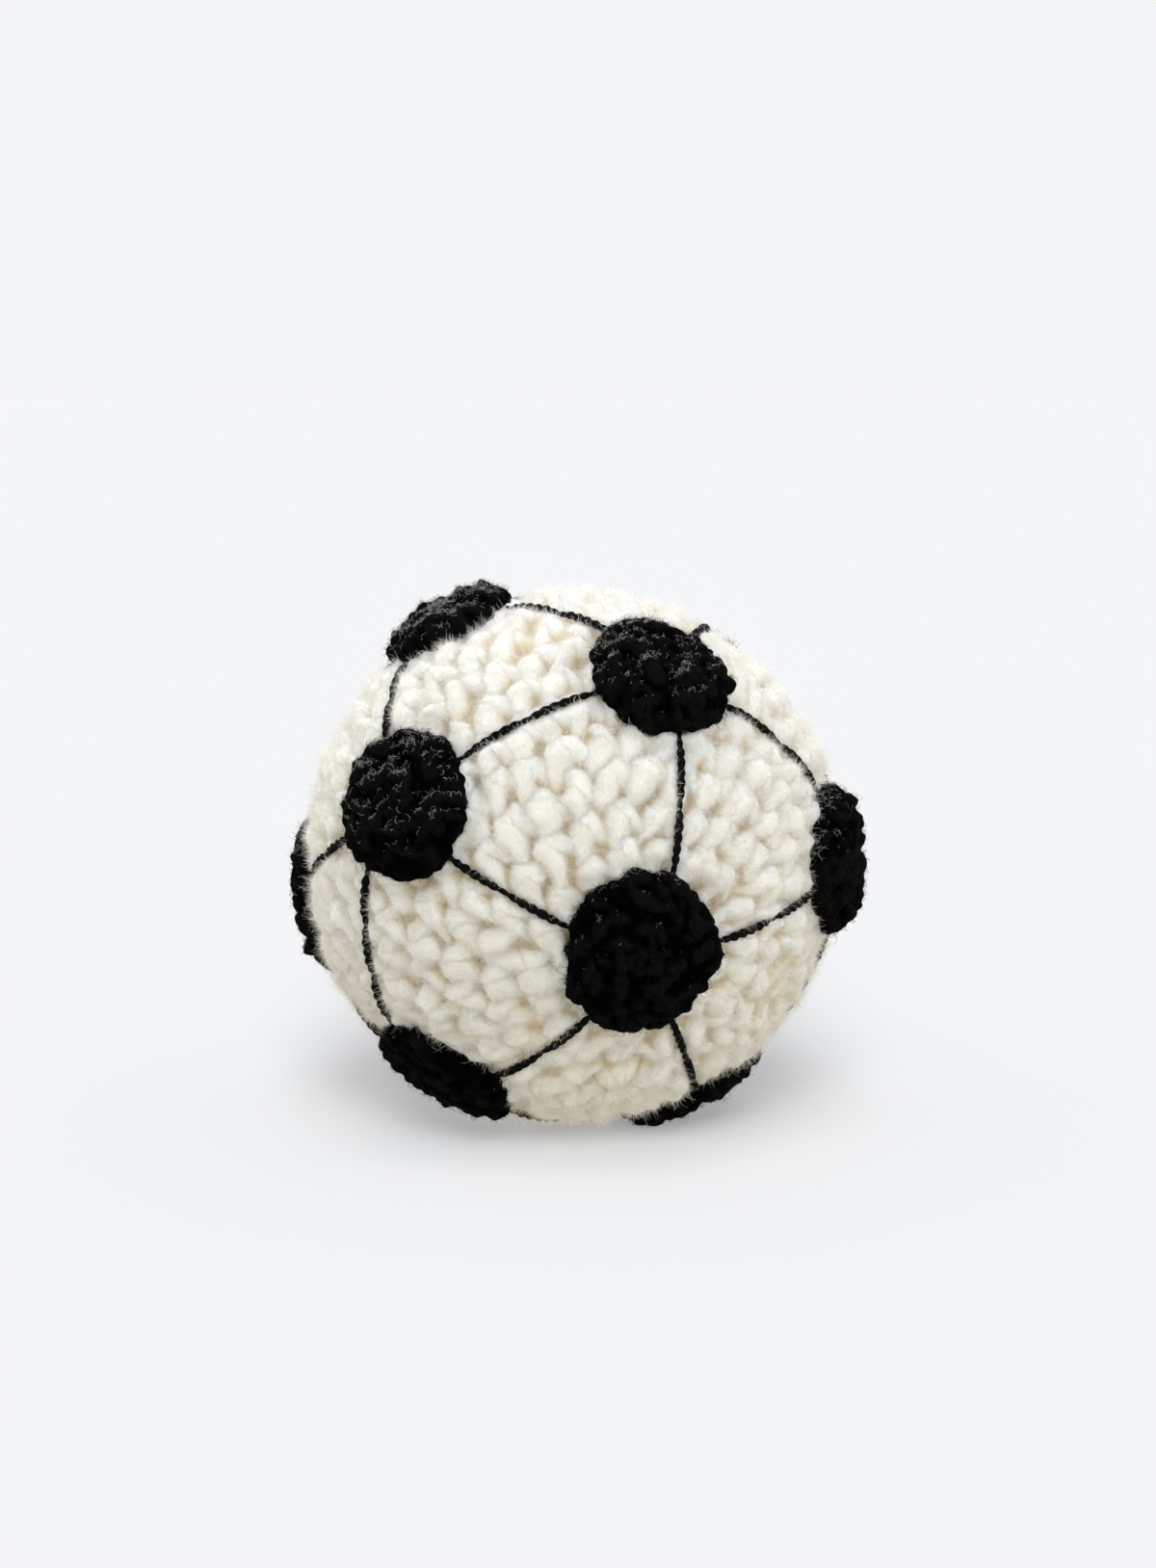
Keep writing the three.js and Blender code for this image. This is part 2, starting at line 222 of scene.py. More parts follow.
class Recipe:
    """A node tree of a material or of the studio's surroundings, written as Python expressions."""

    def __init__(self, owner: Union[bpy.types.Material, bpy.types.World]) -> None:
        """Empties the owner's node tree and gets ready to fill it."""
        owner.use_nodes = True
        self.tree = owner.node_tree
        self.tree.nodes.clear()

    def node(
        self,
        kind: str,
        settings: Optional[dict] = None,
        inputs: Optional[dict] = None,
        output: Union[str, int] = 0,
    ) -> Wire:
        """Adds a node of any type.

        Args:
            kind: The node's type.
            settings: Its properties, set before its sockets.
            inputs: The values or wires of its sockets, by the sockets' names or numbers.
            output: The name or number of the output that is wanted.

        Returns:
            That output, or nothing from a node without outputs.
        """
        made = self.tree.nodes.new(kind)
        for name, value in (settings or {}).items():
            setattr(made, name, value)
        for name, value in (inputs or {}).items():
            socket = self.found(made.inputs, name)
            if isinstance(value, Wire):
                self.tree.links.new(value.socket, socket)
            else:
                socket.default_value = value
        return Wire(self, self.found(made.outputs, output) if made.outputs else None)

    @staticmethod
    def found(sockets: bpy.types.bpy_prop_collection, key: Union[str, int]) -> bpy.types.NodeSocket:
        """Finds the enabled socket of a name, or the socket of a number."""
        if isinstance(key, int):
            return sockets[key]
        return next(s for s in sockets if s.name == key and s.enabled)

    def maths(self, operation: str, first: Value, second: Value) -> Wire:
        """Works out something from two values."""
        return self.node("ShaderNodeMath", {"operation": operation}, {0: first, 1: second})

    def mixed(self, share: Value, first: Union[Wire, Colour], second: Union[Wire, Colour]) -> Wire:
        """Mixes two colours, with a share of the second."""
        a, b = (c if isinstance(c, Wire) else (*c, 1) for c in (first, second))
        return self.node("ShaderNodeMix", {"data_type": "RGBA"}, {"Factor": share, "A": a, "B": b}, "Result")

    def trait(self, name: str, output: str = "Fac") -> Wire:
        """Reads an attribute that a piece's mesh carries."""
        return self.node("ShaderNodeAttribute", {"attribute_name": name}, output=output)

    def place(self) -> Wire:
        """Reads the place on the piece, in metres."""
        return self.node("ShaderNodeTexCoord", output="Object")

    def noise(self, vector: Wire, scale: float, detail: float = 2.0, roughness: float = 0.5) -> Wire:
        """Makes soft noise about 0.5, with scale spots in one unit and finer layers in them."""
        sockets = {"Vector": vector, "Scale": scale, "Detail": detail, "Roughness": roughness}
        return self.node("ShaderNodeTexNoise", None, sockets, "Fac")

    def strands(self, drawn: Sequence[float], scale: float, detail: float, roughness: float) -> Wire:
        """Makes noise that is drawn out, by three factors, the way the yarn lies."""
        sockets = {"Vector": self.trait("lie", "Vector"), "Scale": tuple(drawn)}
        return self.noise(self.node("ShaderNodeMapping", None, sockets, "Vector"), scale, detail, roughness)

    def bumped(self, height: Wire, distance: float, strength: float = 1.0) -> Wire:
        """Turns a height into a bumped normal."""
        sockets = {"Height": height, "Distance": distance, "Strength": strength}
        return self.node("ShaderNodeBump", None, sockets, "Normal")

    def surface(self, **inputs: Union[Wire, Number, tuple]) -> None:
        """Ends the recipe with a Principled surface.

        Args:
            inputs: The values or wires of its sockets, with underscores for the spaces in their names.
        """
        named = {name.replace("_", " "): value for name, value in inputs.items()}
        shader = self.node("ShaderNodeBsdfPrincipled", inputs=named, output="BSDF")
        self.node("ShaderNodeOutputMaterial", inputs={"Surface": shader})


def new_recipe(name: str) -> tuple[bpy.types.Material, Recipe]:
    """Makes an empty material and the recipe that fills it."""
    material = bpy.data.materials.new(name)
    return material, Recipe(material)


@dataclass(frozen=True)
class IvoryWool:
    """Thick soft ivory roving: pale on the puffs, with a warm painted shade in the creases, and lengthwise
    fibres.
    """

    puff: Colour = (0.955, 0.935, 0.88)
    # The colour of the painted shade in the creases
    crease: Colour = (0.885, 0.78, 0.58)
    tint: Colour = (0.94, 0.885, 0.77)
    clouds: float = 230.0
    fluff: float = 1100.0
    nap: float = 0.75 * MM
    glow: float = 2.2 * MM

    def material(self) -> bpy.types.Material:
        """Makes the material of the cover.

        Returns:
            The material.
        """
        material, r = new_recipe("ivory_wool")
        cloud = r.noise(r.place(), self.clouds, detail=3.0)
        # Painted shade: the deeper a point lies in a crease, the more of the warm, darker crease colour it
        # takes, broken up by cloudy noise.
        share = (r.trait("crease") ** 1.5 * (0.6 + 0.8 * cloud)).clamped()
        fibres = r.strands((0.5, 3.0, 1.0), scale=1.3, detail=4.0, roughness=0.65)
        tinted = cloud.ramped(0.42, 2.2) * 0.4 + fibres.ramped(0.42, 3.0) * 0.5
        fluff = r.noise(r.place(), self.fluff, detail=5.0, roughness=0.65)
        r.surface(
            Base_Color=r.mixed(share, r.mixed(tinted, self.puff, self.tint), self.crease),
            Roughness=0.95,
            Specular_IOR_Level=0.1,
            Sheen_Weight=0.25,
            Sheen_Roughness=0.6,
            Subsurface_Weight=0.75,
            Subsurface_Radius=(1.0, 0.8, 0.55),
            Subsurface_Scale=self.glow,
            Normal=r.bumped(fibres * 0.45 + fluff * 0.55, self.nap),
        )
        return material


@dataclass(frozen=True)
class Fibre:
    """The colour of loose wool fibres."""

    name: str
    colour: Colour
    tip: Colour
    deep: Colour
    roughness: float
    specular: float
    sheen: float = 0.0

    def material(self) -> bpy.types.Material:
        """Makes the material of the fibres, paler towards their tips, with painted shade, warmer or darker,
        where they grow in a crease.

        Returns:
            The material.
        """
        material, r = new_recipe(self.name)
        colour = r.mixed(r.trait("tip"), self.colour, self.tip)
        r.surface(
            # Painted shade: fibres rooted deep in a crease take the deep colour.
            Base_Color=r.mixed(r.trait("crease") ** 1.5, colour, self.deep),
            Roughness=self.roughness,
            Specular_IOR_Level=self.specular,
            Sheen_Weight=self.sheen,
        )
        return material


IVORY_FIBRES = Fibre(
    "ivory_fibres",
    colour=(0.95, 0.93, 0.875),
    tip=(0.955, 0.94, 0.895),
    deep=(0.92, 0.85, 0.70),
    roughness=0.9,
    specular=0.1,
    sheen=0.15,
)
BLACK_FIBRES = Fibre(
    "black_fibres",
    colour=(0.0008, 0.0008, 0.0008),
    tip=(0.005, 0.0048, 0.0046),
    deep=(0.0003, 0.0003, 0.0003),
    roughness=0.5,
    specular=0.02,
)
# Painted glints: light-grey fibres, palest at their tips, stand for the top lamp catching the black fibres.
PAINTED_GLINT_FIBRES = Fibre(
    "grey_fibres",
    colour=(0.08, 0.078, 0.075),
    tip=(0.62, 0.605, 0.58),
    deep=(0.01, 0.01, 0.01),
    roughness=0.5,
    specular=0.2,
)


@dataclass(frozen=True)
class BlackWool:
    """Black crochet wool: painted shade keeps its creases darkest, and painted highlight puts a dull grey, in
    random specks, on the crowns of its loops.
    """

    deep: Colour = (0.0004, 0.0004, 0.0004)
    crown: Colour = (0.008, 0.0078, 0.0075)
    specks: float = 2200.0
    nap: float = 0.3 * MM

    def material(self) -> bpy.types.Material:
        """Makes the material of the patches.

        Returns:
            The material.
        """
        material, r = new_recipe("black_wool")
        # Painted shade and highlight: grey only on the raised crowns, none in the creases.
        raised = (1 - r.trait("crease")) ** 2.0
        specks = r.noise(r.place(), self.specks, detail=3.0, roughness=0.7)
        strands = r.strands((0.5, 3.2, 1.0), scale=1.6, detail=3.0, roughness=0.6)
        share = (raised * ((specks * 1.2 + strands * 0.8) - 0.6)).clamped()
        r.surface(
            Base_Color=r.mixed(share, self.deep, self.crown),
            Roughness=0.85,
            Specular_IOR_Level=0.015,
            Normal=r.bumped(strands * 0.6 + specks * 0.4, self.nap, 0.7),
        )
        return material


@dataclass(frozen=True)
class BlackThread:
    """Black two-ply thread, a little browner than the patches where light catches it."""

    deep: Colour = (0.0015, 0.0014, 0.0013)
    lit: Colour = (0.004, 0.0037, 0.0034)
    nap: float = 0.12 * MM

    def material(self) -> bpy.types.Material:
        """Makes the material of the seam lines.

        Returns:
            The material.
        """
        material, r = new_recipe("black_thread")
        fibres = r.strands((1.0, 6.0, 1.0), scale=2.0, detail=3.0, roughness=0.6)
        r.surface(
            Base_Color=r.mixed(fibres.ramped(0.35, 2.0), self.deep, self.lit),
            Roughness=0.75,
            Specular_IOR_Level=0.06,
            Normal=r.bumped(fibres, self.nap, 0.8),
        )
        return material


@dataclass(frozen=True)
class LiningCloth:
    """Thin undyed plain-woven lining."""

    thread: Colour = (0.80, 0.77, 0.70)
    gap: Colour = (0.58, 0.54, 0.46)
    weave: float = 2400.0
    slubs: float = 500.0
    nap: float = 0.08 * MM

    def material(self) -> bpy.types.Material:
        """Makes the material of the pouch.

        Returns:
            The material.
        """
        material, r = new_recipe("lining_cloth")
        sockets = {"Vector": r.place(), "Scale": self.weave, "Randomness": 0.25}
        weave = r.node("ShaderNodeTexVoronoi", {"feature": "F1"}, sockets, "Distance")
        slub = r.noise(r.place(), self.slubs, detail=3.0)
        r.surface(
            Base_Color=r.mixed((weave * 0.7 + slub * 0.4).clamped(), self.thread, self.gap),
            Roughness=0.85,
            Sheen_Weight=0.15,
            Normal=r.bumped(1 - weave, self.nap, 0.8),
        )
        return material


@dataclass(frozen=True)
class PelletPlastic:
    """Milky plastic pellets."""

    shell: Colour = (0.80, 0.83, 0.84)
    shade: Colour = (0.60, 0.63, 0.65)
    clouds: float = 700.0
    glow: float = 0.8 * MM
    relief: float = 0.1 * MM

    def material(self) -> bpy.types.Material:
        """Makes the material of the pellets.

        Returns:
            The material.
        """
        material, r = new_recipe("pellet_plastic")
        cloud = r.noise(r.place(), self.clouds)
        share = (r.trait("crease") * 0.7 + cloud * 0.3).clamped()
        r.surface(
            Base_Color=r.mixed(share, self.shell, self.shade),
            Roughness=0.32 + cloud * 0.15,
            Subsurface_Weight=0.2,
            Subsurface_Radius=(1.0, 1.0, 1.0),
            Subsurface_Scale=self.glow,
            Normal=r.bumped(cloud, self.relief, 0.3),
        )
        return material


@dataclass
class Skin:
    """The points and faces of one piece, gathered before Blender gets them."""

    points: Array
    faces: list[Array]
    traits: dict[str, Array] = field(default_factory=dict)
    grain: Optional[Array] = None

    def piece(self, name: str, material: bpy.types.Material) -> bpy.types.Object:
        """Makes the Blender object.

        Args:
            name: The piece's name.
            material: Its material.

        Returns:
            The object, smooth shaded and linked into the scene.
        """
        mesh = bpy.data.meshes.new(name)
        mesh.vertices.add(len(self.points))
        mesh.vertices.foreach_set("co", self.points.astype(np.float32).ravel())
        corners = np.concatenate([f.ravel() for f in self.faces]).astype(np.int32)
        sizes = np.concatenate([np.full(len(f), f.shape[1]) for f in self.faces])
        starts = np.concatenate([[0], np.cumsum(sizes)[:-1]]).astype(np.int32)
        mesh.loops.add(len(corners))
        mesh.loops.foreach_set("vertex_index", corners)
        mesh.polygons.add(len(sizes))
        mesh.polygons.foreach_set("loop_start", starts)
        mesh.update(calc_edges=True)
        mesh.shade_smooth()
        for trait, values in self.traits.items():
            is_vector = values.ndim == 2
            made = mesh.attributes.new(trait, "FLOAT_VECTOR" if is_vector else "FLOAT", "POINT")
            made.data.foreach_set("vector" if is_vector else "value", values.astype(np.float32).ravel())
        mesh.materials.append(material)
        made_piece = bpy.data.objects.new(name, mesh)
        bpy.context.scene.collection.objects.link(made_piece)
        return made_piece

    def scatter(
        self, count: int, rng: np.random.Generator, towards: Optional[Sequence[float]] = None
    ) -> tuple[Array, Array, Array, Array]:
        """Picks places spread over the four-sided faces.

        Args:
            count: How many places.
            rng: The source of chance.
            towards: Faces that look this way get more places, and those that look away get none.

        Returns:
            The places, the directions that face out there, the directions of the yarn and the mask of painted
            crease shade.
        """
        quads = next(f for f in self.faces if f.shape[1] == 4)
        corners = self.points[quads]
        outward = np.cross(corners[:, 2] - corners[:, 0], corners[:, 3] - corners[:, 1])
        area = np.linalg.norm(outward, axis=1)
        weight = area * (1 - self.trait("bald")[quads[:, 0]])
        if towards is not None:
            weight = weight * np.clip(unit(outward) @ np.array(towards), 0, 1) ** FACING_FOCUS
        picked = rng.choice(len(quads), size=count, p=weight / weight.sum())
        across, down = rng.random((2, count, 1))
        a, b, c, d = (corners[picked, k] for k in range(4))
        places = (a * (1 - across) + b * across) * (1 - down) + (d * (1 - across) + c * across) * down
        root = quads[picked, 0]
        return places, unit(outward[picked]), self.grain[root], self.trait("crease")[root]

    def trait(self, name: str) -> Array:
        """One of the skin's traits, which is nothing everywhere where the skin doesn't have it."""
        return self.traits.get(name, np.zeros(len(self.points)))

    @staticmethod
    def joined(skins: Sequence["Skin"]) -> "Skin":
        """Joins several skins that have the same traits.

        Args:
            skins: The skins.

        Returns:
            One skin with all their points and faces.
        """
        shifts = np.cumsum([0] + [len(s.points) for s in skins[:-1]])
        widths = sorted({f.shape[1] for s in skins for f in s.faces})
        moved = [f + shift for s, shift in zip(skins, shifts) for f in s.faces]
        faces = [np.concatenate([f for f in moved if f.shape[1] == width]) for width in widths]
        traits = {t: np.concatenate([s.traits[t] for s in skins]) for t in skins[0].traits}
        grains = [s.grain for s in skins if s.grain is not None]
        grain = np.concatenate(grains) if len(grains) == len(skins) else None
        return Skin(np.concatenate([s.points for s in skins]), faces, traits, grain)


def ball_grid(cells: int) -> tuple[Array, Array]:
    """Covers a ball evenly with four-sided faces, as a blown-up cube.

    Args:
        cells: How many faces lie along each edge of the cube.

    Returns:
        The unit directions of its points, and its faces with their corners turning the right way.
    """
    steps = np.tan(np.linspace(-math.pi / 4, math.pi / 4, cells + 1))
    first, second = np.meshgrid(steps, steps, indexing="ij")
    sides = []
    for axis in range(3):
        for sign in (1, -1):
            side = np.stack([np.full_like(first, sign), first * sign, second], axis=-1)
            sides.append(np.roll(side, axis, axis=-1).reshape(-1, 3))
    everything = np.concatenate(sides)
    # Points that two or three sides of the cube share become one
    rounded = np.round(everything * 1e6).astype(np.int64)
    _, keep, lookup = np.unique(rounded, axis=0, return_index=True, return_inverse=True)
    rows = cells + 1
    low = (np.arange(cells)[:, None] * rows + np.arange(cells)).ravel()
    quad = np.stack([low, low + rows, low + rows + 1, low + 1], axis=1)
    quads = [quad + side * rows**2 for side in range(len(sides))]
    return unit(everything[keep]), lookup.ravel()[np.concatenate(quads)]


@dataclass
class Puffs:
    """Rounded puffs of yarn on a surface: where each lies, its lie and its size."""

    middles: Array
    along: Array
    across: Array
    length: Array
    width: Array
    height: Array
    taper: float = 0.0
    peak: float = 0.0
    fullness: float = 0.5
    apart: float = 7.3

    def over(self, places: Array, softness: float, reach: float) -> tuple[Array, Array, Array]:
        """Works out how high the puffs stand over many places at once.

        Args:
            places: The places, on the same surface as the middles.
            softness: The height over which two puffs melt into each other.
            reach: How far from its middle the largest puff can reach.

        Returns:
            The height at each place, the number of the puff on top, and the place within that puff along
            it, across it and its own number as a third value, all in millimetres.
        """
        height = np.zeros(len(places))
        top = np.zeros(len(places), int)
        inside = np.zeros((len(places), 3))
        for start in range(0, len(places), POINTS_AT_ONCE):
            part = places[start : start + POINTS_AT_ONCE]
            gap = part[:, None, :] - self.middles[None, :, :]
            near = np.einsum("ijk,ijk->ij", gap, gap) < reach * reach
            where, which = np.nonzero(near)
            offset = gap[where, which]
            x = np.einsum("ij,ij->i", offset, self.along[which]) / self.length[which]
            y = np.einsum("ij,ij->i", offset, self.across[which]) / self.width[which]
            y = y / (1 + self.taper * np.clip(x, -1, 1))
            late = (x - self.peak) / np.where(x > self.peak, 1 - self.peak, 1 + self.peak)
            rise = self.height[which] * np.clip(1 - late * late - y * y, 0, 1) ** self.fullness
            order = np.lexsort((rise, where))
            last = np.nonzero(np.diff(where[order], append=-1))[0]
            best = order[last]
            spots = where[best]
            heap = np.bincount(where, np.exp(rise / softness), minlength=len(part))
            count = np.bincount(where, minlength=len(part))
            height[start : start + len(part)] = softness * np.log(np.maximum(heap - count + 1, 1))
            top[start + spots] = which[best]
            inside[start + spots, 0] = x[best] * self.length[which[best]] / MM
            inside[start + spots, 1] = y[best] * self.width[which[best]] / MM
            inside[start + spots, 2] = which[best] * self.apart
        return height, top, inside


@dataclass(frozen=True)
class Ball:
    """The stuffed ball that the cover, the patches and the seams all follow."""

    radius: float = 30.0 * MM
    settle: float = 0.5 * MM
    patch_radius: float = 8.3 * MM
    patch_base: float = 30.3 * MM
    patch_thickness: float = 2.0 * MM

    @property
    def middle(self) -> Array:
        """The middle of the ball, above the origin on the floor."""
        return np.array([0.0, 0.0, self.radius - self.settle])

    def lift(self, directions: Array, top: float) -> Array:
        """How far the floor lifts a patch, to keep its outside, at the distance top, above the floor."""
        return np.maximum(0, -self.middle[2] - top * directions[..., 2])


@dataclass(frozen=True)
class PatchSize:
    """How wide and how thick a patch came out, and how far off it was sewn, in shares of the usual sizes."""

    width_share: float = 1.0
    height_share: float = 1.0
    nudge: tuple[float, float, float] = (0.0, 0.0, 0.0)


PATCH_SIZES = {
    "patch_front": PatchSize(1.04, 0.9),
    "patch_crown": PatchSize(0.915, 1.15),
    "patch_left": PatchSize(0.99, 0.85),
    "patch_base_left": PatchSize(1.02, 0.35),
    "patch_base_right": PatchSize(1.06, 0.5, (-0.03, -0.11, 0.09)),
    "patch_right": PatchSize(nudge=(0.0, 0.0, -0.02)),
    "patch_crown_left": PatchSize(0.92, 0.9),
    "patch_left_rear": PatchSize(1.12, 0.75, (0.0, -0.1, -0.02)),
    "patch_base_rear": PatchSize(0.96, 0.9),
}


@dataclass(frozen=True)
class SewnPlace:
    """Where one patch is sewn on the ball, how wide it is and how high it stands."""

    name: str
    middle: Array
    radius: float
    top: float
    height_share: float
    settling: int = 12

    @staticmethod
    def from_solid(node: bpy.types.Object, ball: Ball) -> "SewnPlace":
        """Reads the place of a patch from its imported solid, allowing for the floor's lift.

        Args:
            node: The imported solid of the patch.
            ball: The ball that it is sewn on.

        Returns:
            The place.
        """
        size = PATCH_SIZES.get(node.name, PatchSize())
        top = ball.patch_base + ball.patch_thickness * size.height_share
        seen = np.array([v.co for v in node.data.vertices]) - ball.middle
        towards = unit(seen)
        for _ in range(SewnPlace.settling):
            lifted = seen.copy()
            lifted[:, 2] -= ball.lift(towards, top)
            towards = unit(lifted)
        middle = unit(unit(towards.mean(0)) + size.nudge)
        return SewnPlace(node.name, middle, ball.patch_radius * size.width_share, top, size.height_share)


@dataclass(frozen=True)
class SeamLine:
    """The route of one backstitched line of thread over the ball, between two patches."""

    name: str
    start: Array
    end: Array
    ball: Ball
    thread_radius: float = 0.45 * MM
    sink: float = 0.6 * MM
    dip: float = 0.22 * MM
    stitch: float = 7.0 * MM
    tuck: float = 4.0 * MM
    pinch: int = 8
    end_reach: float = 0.012
    end_ease: float = 0.12

    @property
    def span(self) -> float:
        """The angle between the two ends."""
        return float(np.arccos(np.clip(self.start @ self.end, -1, 1)))

    @property
    def stitches(self) -> int:
        """How many backstitches the line has."""
        return max(2, round(self.span * self.ball.radius / self.stitch))

    def towards(self, shares: Array) -> Array:
        """Finds places along the line.

        Args:
            shares: Shares of the visible line, from 0 at its start to 1 at its end.

        Returns:
            Their unit directions from the middle of the ball.
        """
        before = np.sin((1 - shares) * self.span) / math.sin(self.span)
        after = np.sin(shares * self.span) / math.sin(self.span)
        return unit(before[:, None] * self.start + after[:, None] * self.end)

    def depth(self, shares: Array) -> Array:
        """How far the thread dips into the cover, between 0 on a stitch and 1 at its ends."""
        return np.abs(np.cos(math.pi * self.stitches * np.clip(shares, 0, 1))) ** self.pinch

    def route(self, step: float) -> tuple[Array, Array]:
        """The middle of the thread, from under one patch to under the other.

        Args:
            step: The distance between its points.

        Returns:
            The points, and their shares of the visible line.
        """
        over = self.tuck / (self.span * self.ball.radius)
        count = round(self.span * self.ball.radius * (1 + 2 * over) / step)
        shares = np.linspace(-over, 1 + over, count)
        radius = self.ball.radius - self.sink - self.dip * self.depth(shares)
        points = self.ball.middle + self.towards(shares) * radius[:, None]
        points[:, 2] = np.maximum(points[:, 2], self.thread_radius)
        return points, shares

    @staticmethod
    def from_solid(node: bpy.types.Object, ball: Ball) -> "SeamLine":
        """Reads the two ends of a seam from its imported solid.

        Args:
            node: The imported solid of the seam.
            ball: The ball that it lies on.

        Returns:
            The line between the middles of its two ends.
        """
        seen = np.array([v.co for v in node.data.vertices]) - ball.middle
        towards = unit(seen)
        heart = unit(towards.mean(0))
        spread = towards - heart
        lie = unit(spread[np.argmax(np.linalg.norm(spread, axis=1))])
        reach = spread @ lie
        first = unit(towards[reach < reach.min() + SeamLine.end_reach].mean(0))
        last = unit(towards[reach > reach.max() - SeamLine.end_reach].mean(0))
        return SeamLine(node.name, first, last, ball)

    def pull(self, directions: Array, width: float) -> tuple[Array, Array]:
        """How strongly the line draws the cover in.

        Args:
            directions: Unit directions on the cover.
            width: How far from the thread the cover is drawn in.

        Returns:
            The pull at each direction between 0 and 1, and the share of the line that is nearest.
        """
        side = unit(np.cross(self.start, self.end))
        aside = np.arcsin(np.clip(directions @ side, -1, 1)) * self.ball.radius
        ahead = unit(np.cross(side, self.start))
        angle = np.arctan2(directions @ ahead, directions @ self.start)
        share = angle / self.span
        within = smooth_step(share, -self.end_ease, 0.0) * smooth_step(share, 1 + self.end_ease, 1.0)
        return np.exp(-((aside / width) ** 2)) * within, share


@dataclass(frozen=True)
class Leg:
    """One of the two puffs of a stitch: its half length and width, its slant, place and height."""

    halves: Span
    slant: float
    aside: float
    above: float
    height: float


@dataclass
class CrochetedCover:
    """The ivory cover, worked in the round: two slanted puffs of thick yarn for every stitch."""

    ball: Ball
    pole: Array
    cells: int = 129
    added: int = 6
    growing: int = 7
    even: int = 7
    spiral: float = 0.35
    legs: tuple[Leg, ...] = (
        Leg((3.4 * MM, 1.7 * MM), slant=-22.0, aside=-0.25, above=-0.05, height=1.0),
        Leg((2.8 * MM, 1.5 * MM), slant=30.0, aside=0.27, above=0.16, height=0.9),
    )
    reach: float = 4.42 * MM
    fullest: float = 0.12
    narrowest: float = 0.6
    place_spread: float = 0.06
    slant_spread: float = 9.0
    size_spread: float = 0.1
    height_spread: float = 0.12
    relief: float = 1.4 * MM
    swell: float = -0.35 * MM
    softness: float = 0.45 * MM
    wander: float = 0.3 * MM
    lumps: float = 0.18 * MM
    lump_layers: tuple[Span, ...] = ((26.0, 0.7), (75.0, 0.5), (150.0, 0.35))
    slack: float = 0.2 * MM
    crease_band: Span = (1.0 * MM, 0.25 * MM)
    seam_draw: float = 1.1 * MM
    seam_width: float = 0.85 * MM
    seam_band: Span = (0.5, 0.8)
    seam_slack: float = 0.25
    rim_draw: float = 0.4 * MM
    rim_place: float = 1.1 * MM
    rim_width: float = 0.9 * MM
    under_draw: float = 0.8 * MM
    under_band: Span = (-0.2 * MM, -1.6 * MM)
    pressed_band: Span = (1.2 * MM, -1.2 * MM)
    bald_band: Span = (0.3 * MM, 0.0)
    flat_ease: float = 0.6 * MM

    def stitch_counts(self) -> list[int]:
        """The number of stitches in each round, from pole to pole."""
        rising = [self.added * (k + 1) for k in range(self.growing)]
        return rising + [rising[-1]] * self.even + rising[::-1]

    def puffs(self, rng: np.random.Generator) -> Puffs:
        """Lays out the puffs of all the stitches.

        Args:
            rng: The source of the small unevenness of hand work.

        Returns:
            The puffs, with their middles on the ball.
        """
        counts = self.stitch_counts()
        high = math.pi / len(counts)
        rows = []
        turn = 0.0
        for k, stitches in enumerate(counts):
            wide = math.tau / stitches
            turn += self.spiral * wide
            for j in range(stitches):
                for leg in self.legs:
                    # A puff sits a little beside and above or below the middle of its stitch
                    polar = (k + 0.5 + leg.above + rng.normal(0, self.place_spread)) * high
                    around = turn + (j + leg.aside + rng.normal(0, self.place_spread)) * wide
                    size = min(1.0, math.sin(polar) * wide / high + self.fullest)
                    polar = min(max(polar, NEAR_POLE), math.pi - NEAR_POLE)
                    rows.append((polar, around, size, leg.slant, *leg.halves, leg.height))
        polar, around, size, slant, long, wide, tall = np.array(rows).T
        ring = swung(*square_to(self.pole), around)
        middles = swung(self.pole, ring, polar)
        up = swung(ring, -self.pole, polar)
        slant = np.radians(slant + rng.normal(0, self.slant_spread, len(rows)))
        along = swung(up, np.cross(middles, up), slant)
        long, wide = (np.stack([long, wide], axis=1) * rng.normal(1, self.size_spread, (len(rows), 2))).T
        wide = wide * (self.narrowest + (1 - self.narrowest) * size)
        height = self.relief * tall * rng.normal(1, self.height_spread, len(rows))
        across = np.cross(middles, along)
        middles = middles * self.ball.radius
        return Puffs(middles, along, across, long, wide, height, taper=0.25, peak=0.35, fullness=0.8)

    def build(
        self, patches: Sequence[SewnPlace], seams: Sequence[SeamLine], rng: np.random.Generator
    ) -> Skin:
        """Builds the cover's outside as one closed skin, filled by the pouch and the pellets.

        Args:
            patches: The places of the patches.
            seams: The seam lines.
            rng: The source of chance.

        Returns:
            The skin, with the mask of painted shade in its creases, the lie of its yarn and where it is
            covered.
        """
        directions, quads = ball_grid(self.cells)
        puffs = self.puffs(rng)
        # Soft yarn spreads as it likes, so the puffs are a little out of shape
        stray = np.stack([ripple(directions, rng, waves=40, pitch=48.0) for _ in range(3)], axis=1)
        places = directions * self.ball.radius + stray * self.wander
        height, top, inside = puffs.over(places, self.softness, self.reach)
        # Lumps of unspun wool in every puff, and the slack of the whole round
        for pitch, share in self.lump_layers:
            height = height + ripple(directions, rng, waves=60, pitch=pitch) * self.lumps * share
        height = height + ripple(directions, rng, waves=14, pitch=7.0) * self.slack
